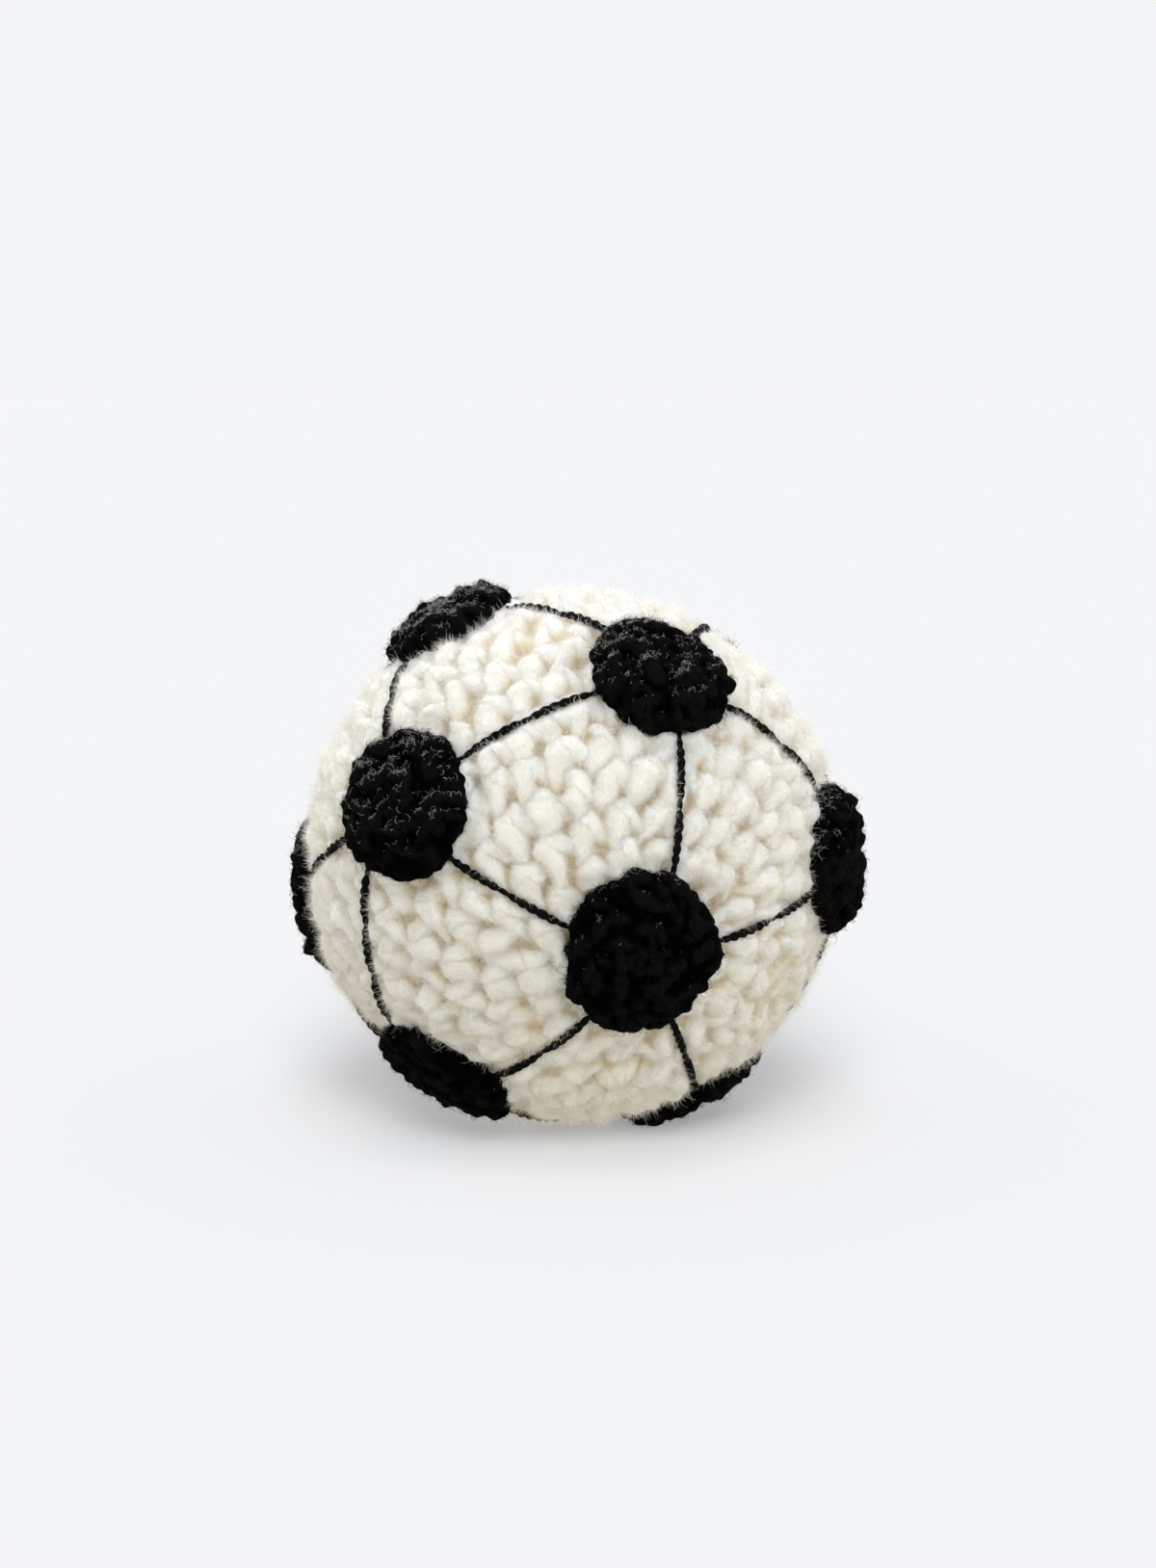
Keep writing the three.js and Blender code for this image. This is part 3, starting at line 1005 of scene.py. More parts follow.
        # How deep each point lies in a crease: the mask that the materials use for painted shade
        crease = smooth_step(height, *self.crease_band)
        radius = self.ball.radius + self.swell - self.relief + height
        lift, bald = np.zeros((2, len(directions)))
        for patch in patches:
            beyond = np.arccos(np.clip(directions @ patch.middle, -1, 1)) * self.ball.radius - patch.radius
            rim = np.exp(-(((beyond - self.rim_place) / self.rim_width) ** 2))
            under = smooth_step(beyond, *self.under_band)
            radius = radius - under * self.under_draw - rim * self.rim_draw
            pressed = smooth_step(beyond, *self.pressed_band)
            lift = np.maximum(lift, self.ball.lift(directions, patch.top) * pressed)
            bald = np.maximum(bald, smooth_step(beyond, *self.bald_band))
        for seam in seams:
            pull, share = seam.pull(directions, self.seam_width)
            hold = 1 - self.seam_slack * seam.depth(share)
            lowered = np.minimum(radius, self.ball.radius - self.seam_draw)
            radius = radius + (lowered - radius) * pull * hold
            bald = np.maximum(bald, smooth_step(pull, *self.seam_band))
        points = directions * radius[:, None] + self.ball.middle
        points[:, 2] = settled(points[:, 2] + lift, self.flat_ease)
        return Skin(points, [quads], {"crease": crease, "lie": inside, "bald": bald}, puffs.along[top])


class Curl(Enum):
    """How much the fibres of a yarn bend at each of their joints."""

    SOFT = 0.48
    WIRY = 1.0


@dataclass(frozen=True)
class Fuzz:
    """Loose fibres that stand off a yarn, as one or more pieces of closed three-sided hairs."""

    name: str
    count: int
    length: Span
    radius: float
    rise: float
    curl: Curl
    pieces: int = 1
    joints: int = 3
    order: float = 0.8
    shortest: float = 0.5
    looseness: float = 0.7
    thinning: float = 0.75
    droop: float = 0.1
    rooted: float = 0.12 * MM
    clearance: float = 0.02 * MM
    askew: float = 0.001
    towards: Optional[tuple[float, float, float]] = None

    def names(self) -> list[str]:
        """The names of its pieces."""
        return [self.name] if self.pieces == 1 else [f"{self.name}_{k + 1}" for k in range(self.pieces)]

    def grow(self, skins: Sequence[Skin], rng: np.random.Generator) -> Skin:
        """Grows the fibres of one piece on some skins.

        Args:
            skins: The skins that carry them.
            rng: The source of chance.

        Returns:
            One skin with all the fibres.
        """
        traits = [{name: s.trait(name) for name in ("crease", "bald")} for s in skins]
        whole = Skin.joined([Skin(s.points, [s.faces[-1]], t, s.grain) for s, t in zip(skins, traits)])
        roots, out, yarn, crease = whole.scatter(self.count, rng, self.towards)
        length = rng.uniform(*self.length, self.count) * rng.uniform(self.shortest, 1.0, self.count)
        loose = unit(rng.normal(size=(self.count, 3)))
        loose -= out * np.einsum("ij,ij->i", loose, out)[:, None]
        rise = self.rise * rng.uniform(0, 2, self.count)[:, None]
        follow = self.order * rng.choice([-1, 1], self.count)[:, None]
        heading = unit(yarn * follow + loose * self.looseness + out * rise)
        turn = unit(rng.normal(size=(self.count, 3)))
        corners = np.arange(3) * math.tau / 3
        spot = roots - out * self.rooted
        layers = []
        for k in range(self.joints):
            first = unit(np.cross(heading, turn + self.askew))
            second = np.cross(heading, first)
            thin = self.radius * (1 - self.thinning * k / self.joints)
            layers += [spot + (first * math.cos(a) + second * math.sin(a)) * thin for a in corners]
            spot = spot + heading * (length / self.joints)[:, None]
            heading = unit(heading + np.cross(turn, heading) * self.curl.value - out * self.droop * k)
        per = 3 * self.joints + 1
        points = np.stack(layers + [spot], axis=1).reshape(-1, 3)
        points[:, 2] = np.maximum(points[:, 2], self.clearance)
        ends = np.concatenate([[[2, 1, 0]], fan(per - 1, per - 4 + np.arange(3))])
        shifts = (np.arange(self.count) * per)[:, None, None]
        sides = ring_faces(self.joints, 3, turned=True)
        faces = [(f[None] + shifts).reshape(-1, f.shape[1]) for f in (ends, sides)]
        along = np.append(np.repeat(np.arange(self.joints) / self.joints, 3), 1.0)
        return Skin(points, faces, {"tip": np.tile(along, self.count), "crease": np.repeat(crease, per)})


IVORY_DOWN = Fuzz(
    "ivory_down",
    count=49000,
    length=(0.7 * MM, 2.0 * MM),
    radius=0.019 * MM,
    rise=0.55,
    curl=Curl.SOFT,
    pieces=6,
    joints=1,
    order=0.5,
)
IVORY_STRAYS = Fuzz(
    "ivory_strays",
    count=9000,
    length=(1.2 * MM, 3.0 * MM),
    radius=0.016 * MM,
    rise=0.8,
    curl=Curl.SOFT,
    pieces=3,
    joints=4,
)
BLACK_FUZZ = Fuzz(
    "black_fuzz",
    count=7000,
    length=(0.6 * MM, 1.9 * MM),
    radius=0.03 * MM,
    rise=0.6,
    curl=Curl.WIRY,
    pieces=3,
    joints=5,
)
# Painted glints: these light fibres grow only on patch faces turned up towards the top lamp, none on faces
# turned away.
PAINTED_GLINT_FUZZ = Fuzz(
    "grey_fuzz",
    count=7000,
    length=(0.5 * MM, 1.6 * MM),
    radius=0.027 * MM,
    rise=0.5,
    curl=Curl.WIRY,
    pieces=2,
    joints=5,
    towards=(-0.35, 0.1, 0.93),
)
THREAD_FUZZ = Fuzz(
    "thread_fuzz", count=6000, length=(0.4 * MM, 1.2 * MM), radius=0.017 * MM, rise=0.6, curl=Curl.WIRY
)


@dataclass(frozen=True)
class LoopRound:
    """One round of loops on a patch: how many, how far out, their half sizes, slant and height."""

    loops: int
    share: float
    halves: Span
    slant: float
    height: float


LOOP_ROUNDS = (
    LoopRound(6, 0.15, (1.5 * MM, 0.95 * MM), slant=20.0, height=0.75),
    LoopRound(9, 0.34, (1.75 * MM, 0.85 * MM), slant=72.0, height=1.0),
    LoopRound(12, 0.51, (1.3 * MM, 0.85 * MM), slant=-20.0, height=0.72),
    LoopRound(12, 0.67, (2.0 * MM, 0.85 * MM), slant=68.0, height=1.05),
    LoopRound(18, 0.82, (1.4 * MM, 0.8 * MM), slant=10.0, height=0.75),
    LoopRound(20, 0.96, (2.3 * MM, 0.9 * MM), slant=68.0, height=0.68),
    LoopRound(20, 1.1, (2.2 * MM, 0.9 * MM), slant=64.0, height=0.45),
)


@dataclass
class CrochetedPatch:
    """A round black patch: rounds of 6, 12 and 18 stitches, a domed top with a pit and a thin roped edge."""

    place: SewnPlace
    pole: Array
    ball: Ball
    rows: int = 72
    columns: int = 210
    relief: float = 0.95 * MM
    softness: float = 0.13 * MM
    loop_reach: float = 2.9 * MM
    tuck: float = 0.5 * MM
    crown_share: float = 0.75
    samples: int = 400
    rounding: int = 21
    lumps: float = 0.16 * MM
    lump_pitches: Span = (11.0, 38.0)
    crease_band: Span = (0.75 * MM, 0.15 * MM)
    plain_band: Span = (1.0, 0.9)
    waver: float = 0.028
    waver_waves: tuple[Span, ...] = ((2, 1.0), (3, 0.9), (5, 0.6), (8, 0.4))
    flat_ease: float = 0.25 * MM
    angle_spread: float = 0.22
    place_spread: float = 0.24 * MM
    slant_spread: float = 13.0
    length_spread: float = 0.15
    width_spread: float = 0.17
    height_spread: float = 0.2

    def profile(self) -> tuple[Array, Array]:
        """The section of the patch from its middle over the rim to underneath.

        Returns:
            Distances from the middle, and heights over the patch's base.
        """
        thick = self.place.top - self.ball.patch_base
        reach = self.place.radius - self.tuck
        crest = thick - self.relief * math.sqrt(self.place.height_share) * self.crown_share
        # Distances in shares of the reach, and heights: the pit, the crest, the rim and what is tucked under
        section = [
            (0.0, crest * 0.7),
            (0.12, crest * 0.8),
            (0.3, crest),
            (0.58, crest * 0.98),
            (0.78, crest * 0.74),
            (0.9, crest * 0.42),
            (0.97, crest * 0.08),
            (1.0, -0.6 * MM),
            (0.97, -1.2 * MM),
            (0.89, -1.6 * MM),
        ]
        places = np.array(section) * [reach, 1.0]
        travelled = distances(places)
        wanted = np.linspace(0, travelled[-1], self.rows + 1)[1:]
        fine = np.linspace(0, travelled[-1], self.samples)
        outward, upward = (np.interp(fine, travelled, line) for line in places.T)
        kernel = np.hanning(self.rounding + 2)[1:-1]
        kernel /= kernel.sum()
        edge = self.rounding // 2
        outward = np.convolve(np.pad(outward, edge, "reflect", reflect_type="odd"), kernel, "valid")
        upward = np.convolve(np.pad(upward, edge, "edge"), kernel, "valid")
        return np.interp(wanted, fine, outward), np.interp(wanted, fine, upward)

    def loops(self, out: Array, up: Array, rng: np.random.Generator) -> tuple[Puffs, Array, Array]:
        """Lays out the loops of yarn on the patch.

        Args:
            out: The section's distances from the middle.
            up: The section's heights.
            rng: The source of chance.

        Returns:
            The puffs on the flat patch, and the flat patch's own points and outward directions.
        """
        slope_out, slope_up = np.gradient(out), np.gradient(up)
        size = np.hypot(slope_out, slope_up)
        face_out, face_up = -slope_up / size, slope_out / size
        points, facing = self.spun(out, up), self.spun(face_out, face_up)
        travelled = distances(np.stack([out, up], axis=1)) + out[0]
        relief = self.relief * math.sqrt(self.place.height_share)
        rows = []
        for ring in LOOP_ROUNDS:
            start = rng.uniform(0, math.tau)
            for j in range(ring.loops):
                angle = start + (j + rng.normal(0, self.angle_spread)) * math.tau / ring.loops
                place = ring.share * self.place.radius + rng.normal(0, self.place_spread)
                x, z, fx, fz = (np.interp(place, travelled, line) for line in (out, up, face_out, face_up))
                radial = np.array([math.cos(angle), math.sin(angle), 0.0])
                around = np.array([-math.sin(angle), math.cos(angle), 0.0])
                face = unit(radial * fx + [0, 0, fz])
                outward = unit(radial * fz - [0, 0, fx])
                tilt = math.radians(ring.slant + rng.normal(0, self.slant_spread))
                along = outward * math.cos(tilt) + around * math.sin(tilt)
                long = ring.halves[0] * rng.normal(1, self.length_spread)
                wide = ring.halves[1] * rng.normal(1, self.width_spread)
                tall = relief * ring.height * rng.normal(1, self.height_spread)
                rows.append((radial * x + [0, 0, z], along, np.cross(face, along), long, wide, tall))
        columns = [np.array(column) for column in zip(*rows)]
        return Puffs(*columns, taper=0.18, peak=0.15, fullness=0.55), points, facing

    def spun(self, outward: Array, upward: Array) -> Array:
        """Spins a section, or the directions that it faces, into rings about the patch's middle.

        Args:
            outward: How far out each point of the section is, or faces.
            upward: How far up it is, or faces.

        Returns:
            The points or directions, by ring and by column.
        """
        around = np.arange(self.columns) * math.tau / self.columns
        flat = outward[:, None]
        rise = np.repeat(upward[:, None], self.columns, 1)
        return np.stack([flat * np.cos(around), flat * np.sin(around), rise], axis=-1)

    def build(self, rng: np.random.Generator) -> Skin:
        """Builds the patch as one closed skin on the ball.

        Args:
            rng: The source of chance.

        Returns:
            The skin, with the mask of painted shade in its creases and the lie of its yarn.
        """
        out, up = self.profile()
        puffs, flat, facing = self.loops(out, up, rng)
        places = flat.reshape(-1, 3)
        height, top, inside = puffs.over(places, self.softness, self.loop_reach)
        for pitch in self.lump_pitches:
            bumps = ripple(places / self.ball.patch_radius, rng, waves=40, pitch=pitch)
            height = height + bumps * self.lumps
        under = np.repeat(np.linspace(0, 1, self.rows), self.columns)
        height = height * smooth_step(under, *self.plain_band)
        # How deep each point lies in a crease: the mask for the patch's painted shade
        crease = smooth_step(height, *self.crease_band)
        moved = places + facing.reshape(-1, 3) * height[:, None]
        heart = [0, 0, up[0] + height[: self.columns].mean()]
        bottom = [0, 0, up[-1]]
        crease = np.append(crease, [crease[: self.columns].mean(), 1.0])
        inside = np.concatenate([inside, [inside[0], inside[-1]]])
        grain = np.concatenate([puffs.along[top], [puffs.along[0]] * 2])
        points = self.wavered(np.concatenate([moved, [heart, bottom]]), rng)
        points, turned = self.on_ball(points, grain)
        faces = closed_tube(self.rows, self.columns)
        return Skin(points, faces, {"crease": crease, "lie": inside}, turned)

    def wavered(self, flat: Array, rng: np.random.Generator) -> Array:
        """Makes the outline a little out of round, as hand work is.

        Args:
            flat: Points of the flat patch.
            rng: The source of chance.

        Returns:
            The points, moved in or out.
        """
        around = np.arctan2(flat[:, 1], flat[:, 0])
        stretch = np.ones(len(flat))
        for waves, share in self.waver_waves:
            stretch += self.waver * share * np.sin(waves * around + rng.uniform(0, math.tau))
        return flat * np.stack([stretch, stretch, np.ones(len(flat))], axis=1)

    def on_ball(self, flat: Array, grain: Array) -> tuple[Array, Array]:
        """Wraps the flat patch round the ball and lets the floor press on it.

        Args:
            flat: Points of the flat patch, with heights over its base.
            grain: Directions of the yarn on the flat patch.

        Returns:
            The points and the directions of the yarn on the ball.
        """
        middle = self.place.middle
        # The yarn's first direction leads away from the cover's pole
        away = middle * (self.pole @ middle) - self.pole
        if np.linalg.norm(away) < NEAR_POLE:
            away = np.cross(middle, np.array([0.0, 0.0, 1.0]))
        away = unit(away)
        across = np.cross(middle, away)
        reach = np.hypot(flat[:, 0], flat[:, 1])
        angle = reach / self.ball.radius
        safe = np.maximum(reach, 1e-9)
        side = away * (flat[:, 0] / safe)[:, None] + across * (flat[:, 1] / safe)[:, None]
        towards = swung(middle, side, angle)
        points = towards * (self.ball.patch_base + flat[:, 2])[:, None] + self.ball.middle
        points[:, 2] += self.ball.lift(towards, self.place.top)
        points[:, 2] = settled(points[:, 2], self.flat_ease)
        turned = unit(grain @ np.stack([away, across, middle]))
        return points, turned


@dataclass
class BackstitchedSeam:
    """Two twisted plies of black thread along a seam line."""

    line: SeamLine
    ply_radius: float = 0.31 * MM
    ply_offset: float = 0.17 * MM
    twist: float = 2.3 * MM
    step: float = 0.2 * MM
    sides: int = 8
    slack: float = 0.05
    pinch: float = 0.35
    unevenness: float = 0.05
    uneven_length: float = 1.7 * MM
    clearance: float = 0.03 * MM
    wrap: float = 0.6
    apart: float = 9.0

    def build(self, rng: np.random.Generator) -> Skin:
        """Builds both plies as closed skins.

        Args:
            rng: The source of chance.

        Returns:
            The joined skin of the two plies.
        """
        points, shares = self.line.route(self.step)
        ahead = unit(np.gradient(points, axis=0))
        outward = unit(points - self.line.ball.middle)
        side = unit(np.cross(ahead, outward))
        outward = np.cross(side, ahead)
        travelled = distances(points)
        slack = np.cumsum(rng.normal(0, self.slack, len(points)))
        wave = np.sin(travelled / self.uneven_length + rng.uniform(0, 6))
        # The thread thins where it dips into the cover
        thin = 1 - self.pinch * self.line.depth(shares) + self.unevenness * wave
        start = rng.uniform(0, math.tau)
        angles = np.arange(self.sides) * math.tau / self.sides
        rim = swung(outward[:, None], side[:, None], angles)
        faces = closed_tube(len(points), self.sides, turned=True)
        plies = []
        for ply in (0, 1):
            turn = start + ply * math.pi + travelled / self.twist * math.tau + slack
            heart = points + swung(outward, side, turn) * (self.ply_offset * thin)[:, None]
            rings = heart[:, None] + rim * (self.ply_radius * thin)[:, None, None]
            skin_points = np.concatenate([rings.reshape(-1, 3), heart[:1], heart[-1:]])
            skin_points[:, 2] = np.maximum(skin_points[:, 2], self.clearance)
            about = np.tile(angles, len(points)) - np.repeat(turn * self.wrap, self.sides)
            round_it = np.stack([np.cos(about), np.sin(about)], axis=1) * self.wrap + [0, ply * self.apart]
            lie = np.column_stack([np.repeat(travelled / MM, self.sides), round_it])
            lie = np.concatenate([lie, lie[:1], lie[-1:]])
            grain = np.concatenate([np.repeat(ahead, self.sides, axis=0), ahead[:1], ahead[-1:]])
            plies.append(Skin(skin_points, faces, {"lie": lie}, grain))
        return Skin.joined(plies)


@dataclass
class GatheredPouch:
    """The thin lining pouch, gathered in pleats to its mouth at the rear pole."""

    ball: Ball
    pole: Array
    radius: float = 26.1 * MM
    wall: float = 0.4 * MM
    mouth: float = 2.2 * MM
    pleats: int = 22
    pleat_depth: float = 0.45 * MM
    crumple: float = 0.12 * MM
    gather_end: float = 1.3
    crowding: float = 1.4
    rows: int = 90
    columns: int = 220

    def build(self, rng: np.random.Generator) -> Skin:
        """Builds the pouch as one closed skin with a mouth.

        Args:
            rng: The source of chance.

        Returns:
            The skin.
        """
        rear = -self.pole
        mouth_angle = math.asin(self.mouth / self.radius)
        polar = np.repeat(np.linspace(mouth_angle, math.pi - NEAR_POLE, self.rows), self.columns)
        around = np.tile(np.arange(self.columns) * math.tau / self.columns, self.rows)
        towards = swung(rear, swung(*square_to(rear), around), polar)
        gather = smooth_step(polar, self.gather_end, mouth_angle)
        # The pleats crowd in places, and they run out on the way down
        wave = np.sin(self.pleats * around + self.crowding * np.sin(3 * around))
        crumple = ripple(towards, rng, waves=10, pitch=14.0) * self.crumple
        fold = gather * (1 - wave) * np.sin(np.minimum(polar * 3, 1.5))
        inward = self.pleat_depth * fold + abs(crumple)
        walls = (self.radius, self.radius - self.wall)
        skins = [towards * (radius - inward)[:, None] + self.ball.middle for radius in walls]
        ends = [self.ball.middle - rear * radius for radius in walls]
        count = len(polar)
        rim = np.arange(self.columns)
        after = np.roll(rim, -1)
        mouth = np.stack([rim, after, after + count, rim + count], axis=1)
        outer = ring_faces(self.rows, self.columns)
        last = count - self.columns + rim
        caps = [fan(2 * count, last, turned=True), fan(2 * count + 1, last + count)]
        faces = [np.concatenate(caps), np.concatenate([outer, outer[:, ::-1] + count, mouth])]
        return Skin(np.concatenate([*skins, ends]), faces)


@dataclass
class SettledPellets:
    """The loose pellets, settled in the pouch with a low heap on top."""

    ball: Ball
    radius: float = 24.8 * MM
    level: float = 13.0 * MM
    heap: float = 3.0 * MM
    pellet: float = 1.65 * MM
    pellets: int = 1500
    cells: int = 96
    place_spread: float = 0.012
    size_spread: float = 0.06
    long_share: float = 1.08
    tall_share: float = 0.85
    softness: float = 0.08 * MM
    reach: float = 1.5
    crease_band: Span = (1.1 * MM, 0.3 * MM)

    def build(self, rng: np.random.Generator) -> Skin:
        """Builds the pebbled outside of the pellets.

        Args:
            rng: The source of chance.

        Returns:
            The closed skin.
        """
        directions, quads = ball_grid(self.cells)
        points = self.surface(directions)
        turn = np.arange(self.pellets) * math.pi * (3 - math.sqrt(5))
        rise = 1 - 2 * (np.arange(self.pellets) + 0.5) / self.pellets
        flat = np.sqrt(1 - rise * rise)
        spread = np.stack([flat * np.cos(turn), flat * np.sin(turn), rise], axis=1)
        spread = unit(spread + rng.normal(0, self.place_spread, spread.shape))
        middles = self.surface(spread)
        helper = unit(rng.normal(size=spread.shape))
        along = unit(np.cross(spread, helper))
        size = self.pellet * rng.normal(1, self.size_spread, self.pellets)
        long, tall = size * self.long_share, size * self.tall_share
        puffs = Puffs(middles, along, np.cross(spread, along), long, size, tall)
        height, _, _ = puffs.over(points, self.softness, self.pellet * self.reach)
        crease = smooth_step(height, *self.crease_band)
        sunk = self.pellet * self.tall_share - height
        moved = points - directions * sunk[:, None] + self.ball.middle
        return Skin(moved, [quads], {"crease": crease})

    def surface(self, directions: Array) -> Array:
        """Finds the outside of the settled pellets.

        Args:
            directions: Unit directions from the middle of the ball.

        Returns:
            The places there, from the middle of the ball.
        """
        rim = math.sqrt(self.radius**2 - self.level**2)
        climb = np.maximum(directions[:, 2], 1e-6)
        flat = np.hypot(directions[:, 0], directions[:, 1])
        radius = np.full(len(directions), self.radius)
        for _ in range(6):
            out = np.minimum(radius * flat / rim, 1)
            top = self.level + self.heap * (1 - out * out)
            radius = np.minimum(self.radius, top / climb)
        return directions * radius[:, None]


@dataclass(frozen=True)
class Lamp:
    """A far lamp: the side that it shines from, its height over the horizon and its width, in degrees.

    A side of 0 is the viewer's, and one of 90 is on the viewer's right.
    """

    name: str
    side: float
    height: float
    strength: float
    softness: float
    lit: str

    def hang(self) -> None:
        """Hangs the lamp, which lights only one collection."""
        data = bpy.data.lights.new(self.name, "SUN")
        data.energy = self.strength
        data.angle = math.radians(self.softness)
        lamp = bpy.data.objects.new(self.name, data)
        bpy.context.scene.collection.objects.link(lamp)
        lamp.light_linking.receiver_collection = bpy.data.collections[self.lit]
        a, e = math.radians(self.side), math.radians(self.height)
        from_there = Vector((math.sin(a) * math.cos(e), -math.cos(a) * math.cos(e), math.sin(e)))
        lamp.rotation_mode = "QUATERNION"
        lamp.rotation_quaternion = (-from_there).to_track_quat("-Z", "Y")


LAMPS = (
    Lamp("top_lamp", side=205.0, height=62.0, strength=2.4, softness=60.0, lit=LIT_FOOTBAG),
    Lamp("front_lamp", side=32.0, height=34.0, strength=1.26, softness=70.0, lit=LIT_FOOTBAG),
    Lamp("side_lamp", side=-62.0, height=10.0, strength=0.3, softness=60.0, lit=LIT_FOOTBAG),
    Lamp("low_floor_lamp", side=0.0, height=38.0, strength=3.06, softness=24.0, lit=LIT_FLOOR),
    Lamp("middle_floor_lamp", side=2.0, height=54.0, strength=1.3, softness=24.0, lit=LIT_FLOOR),
    Lamp("high_floor_lamp", side=4.0, height=76.0, strength=0.87, softness=24.0, lit=LIT_FLOOR),
)


@dataclass(frozen=True)
class Studio:
    """The plain pale studio: floor, surroundings, lamps and the camera of the photograph."""

    ball: Ball
    pale: Colour = (0.896, 0.905, 0.922)
    floor_tint: Colour = (0.30, 0.302, 0.305)
    floor_glow: float = 0.348
    sky: Colour = (0.75, 0.76, 0.79)
    under: Colour = (0.97, 0.90, 0.715)
    contact: Colour = (0.2, 0.18, 0.14)
    distance: float = 330.0 * MM
    elevation: float = 10.0
    focal_share: float = 3056 / PHOTO_HEIGHT
    ball_right: float = -4.5 / PHOTO_HEIGHT
    ball_down: float = 74 / PHOTO_HEIGHT
    sensor: float = 36.0
    horizon: Span = (-0.12, 11.0)
    zenith: Span = (0.28, 7.0)
    nadir: Span = (-0.62, -3.2)
    floor_radius: float = 4.0
    floor_sides: int = 96

    def camera(self) -> None:
        """Sets the camera where the photograph was taken from."""
        data = bpy.data.cameras.new("photo_camera")
        data.sensor_fit = "AUTO"
        data.sensor_width = self.sensor
        data.lens = self.focal_share * self.sensor
        data.clip_start = 10.0 * MM
        camera = bpy.data.objects.new("photo_camera", data)
        bpy.context.scene.collection.objects.link(camera)
        angle = math.radians(self.elevation)
        back = Vector((0.0, -math.cos(angle), math.sin(angle)))
        camera.location = Vector(self.ball.middle) + back * self.distance
        pan = math.atan(-self.ball_right / self.focal_share)
        tilt = math.atan(self.ball_down / self.focal_share)
        level = (-back).to_track_quat("-Z", "Y").to_matrix().to_4x4()
        turn = Matrix.Rotation(-pan, 4, "Y") @ Matrix.Rotation(tilt, 4, "X")
        camera.matrix_world = Matrix.Translation(camera.location) @ level @ turn
        bpy.context.scene.camera = camera

    def floor(self) -> bpy.types.Object:
        """Lays the pale floor, a wide round sheet that glows a little so that shadows stay soft.

        Returns:
            The floor.
        """
        rim = np.arange(self.floor_sides)
        angles = rim * math.tau / self.floor_sides
        edge = np.stack([np.cos(angles), np.sin(angles), np.zeros(len(rim))], axis=1) * self.floor_radius
        material, r = new_recipe("studio_floor")
        r.surface(
            Base_Color=(*self.floor_tint, 1),
            Roughness=1.0,
            Specular_IOR_Level=0.0,
            Emission_Color=(*self.pale, 1),
            Emission_Strength=self.floor_glow,
        )
        points = np.concatenate([edge, np.zeros((1, 3))])
        floor = Skin(points, [fan(len(rim), rim)]).piece("studio_floor", material)
        # The ball is lit from below by the surroundings, which are dimmer and warmer than the floor
        floor.visible_diffuse = False
        floor.visible_glossy = False
        floor.visible_shadow = False
        return floor

    def surroundings(self) -> None:
        """Surrounds the scene: pale at the horizon, dimmer above, warm below and dark right underneath."""
        world = bpy.data.worlds.new("studio_surroundings")
        bpy.context.scene.world = world
        r = Recipe(world)
        place = r.node("ShaderNodeTexCoord", output="Generated")
        height = r.node("ShaderNodeSeparateXYZ", inputs={"Vector": place}, output="Z")
        low = r.mixed(height.ramped(*self.nadir), self.under, self.contact)
        level = r.mixed(height.ramped(*self.horizon), low, self.pale)
        colour = r.mixed(height.ramped(*self.zenith), level, self.sky)
        ground = r.node("ShaderNodeBackground", inputs={"Color": colour, "Strength": 1.0})
        r.node("ShaderNodeOutputWorld", inputs={"Surface": ground})

    def build(self) -> None:
        """Sets up the whole studio."""
        for lit in (LIT_FOOTBAG, LIT_FLOOR):
            bpy.data.collections.new(lit)
        self.camera()
        bpy.data.collections[LIT_FLOOR].objects.link(self.floor())
        self.surroundings()
        for lamp in LAMPS:
            lamp.hang()
        bpy.context.scene.view_settings.view_transform = "Standard"


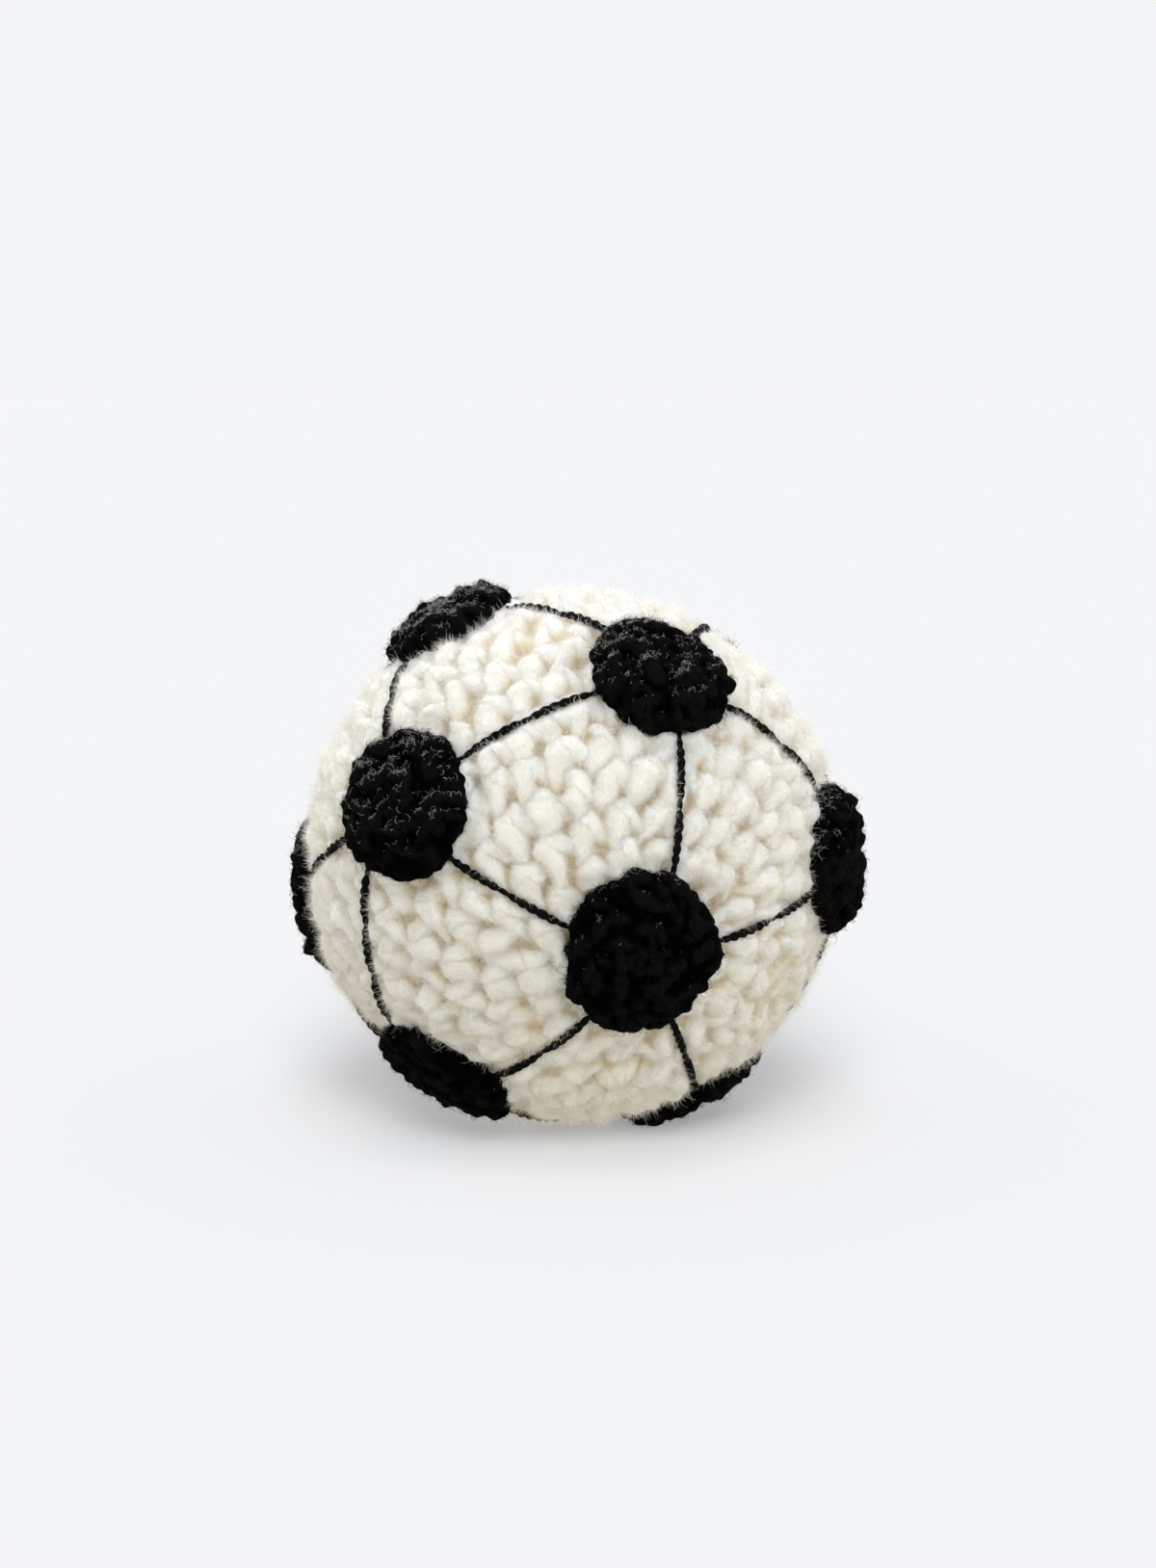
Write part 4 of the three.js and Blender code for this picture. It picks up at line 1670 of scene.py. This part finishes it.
@dataclass
class Footbag:
    """The whole footbag: every piece, in the order in which they are made."""

    ball: Ball
    nodes: dict[str, bpy.types.Object]
    lit: bpy.types.Collection
    seed: int = 42
    made: list[str] = field(default_factory=list)

    def rng(self, task: str) -> np.random.Generator:
        """Returns a source of chance that is the same on every run and differs for each task."""
        return np.random.default_rng([self.seed, *task.encode()])

    def solids(self, start: str) -> list[bpy.types.Object]:
        """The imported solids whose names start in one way, in the frame's order."""
        return [node for name, node in self.nodes.items() if name.startswith(start)]

    def dress(
        self, skin: Skin, name: str, material: bpy.types.Material, slot: str, *nodes: str
    ) -> bpy.types.Object:
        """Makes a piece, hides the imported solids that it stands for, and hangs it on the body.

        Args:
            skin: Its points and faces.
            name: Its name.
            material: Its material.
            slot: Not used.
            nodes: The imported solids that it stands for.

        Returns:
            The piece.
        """
        piece = skin.piece(name, material)
        if nodes:
            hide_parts(*nodes)
        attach(piece, BODY)
        self.lit.objects.link(piece)
        self.made.append(name)
        log.info("%s: %d points", name, len(skin.points))
        return piece

    def build(self) -> None:
        """Makes every piece of the footbag."""
        places = [SewnPlace.from_solid(node, self.ball) for node in self.solids("patch_")]
        lines = [SeamLine.from_solid(node, self.ball) for node in self.solids("seam_")]
        pole = -next(place.middle for place in places if place.name == "patch_rear")
        cover = CrochetedCover(self.ball, pole).build(places, lines, self.rng("cover"))
        piece = self.dress(cover, "crocheted_cover", IvoryWool().material(), "white_yarn", "white_cover")
        black = BlackWool().material()
        patches = []
        for place in places:
            skin = CrochetedPatch(place, pole, self.ball).build(self.rng(place.name))
            self.dress(skin, f"crocheted_{place.name}", black, "black_yarn", place.name)
            patches.append(skin)
        thread = BlackThread().material()
        threads = []
        for line in lines:
            skin = BackstitchedSeam(line).build(self.rng(line.name))
            self.dress(skin, f"thread_{line.name}", thread, "black_thread", line.name)
            threads.append(skin)
        pouch = GatheredPouch(self.ball, pole).build(self.rng("pouch"))
        self.dress(pouch, "gathered_pouch", LiningCloth().material(), "pouch_cloth", "inner_pouch")
        pellets = SettledPellets(self.ball).build(self.rng("pellets"))
        self.dress(pellets, "settled_pellets", PelletPlastic().material(), "pellets", "pellet_fill")
        self.fuzz(cover, patches, threads)

    def fuzz(self, cover: Skin, patches: Sequence[Skin], threads: Sequence[Skin]) -> None:
        """Grows the loose fibres on the wool.

        Args:
            cover: The skin of the cover.
            patches: The skins of the patches.
            threads: The skins of the seam threads.
        """
        white, dark, grey = (kind.material() for kind in (IVORY_FIBRES, BLACK_FIBRES, PAINTED_GLINT_FIBRES))
        for fuzz, skins, material, slot in (
            (IVORY_DOWN, [cover], white, "white_yarn"),
            (IVORY_STRAYS, [cover], white, "white_yarn"),
            (BLACK_FUZZ, patches, dark, "black_yarn"),
            # The painted glints of the top lamp, on the patches' upward faces
            (PAINTED_GLINT_FUZZ, patches, grey, "black_yarn"),
            (THREAD_FUZZ, threads, dark, "black_thread"),
        ):
            for name in fuzz.names():
                self.dress(fuzz.grow(skins, self.rng(name)), name, material, slot)


def main() -> None:
    """Builds the footbag and its studio."""
    logging.basicConfig(level=logging.INFO, format="%(name)s: %(message)s")
    ball = Ball()
    Studio(ball).build()
    footbag = Footbag(ball, frame["nodes"], bpy.data.collections[LIT_FOOTBAG])
    footbag.build()
    log.info("%d pieces made", len(footbag.made))


if __name__ == "__main__":
    main()
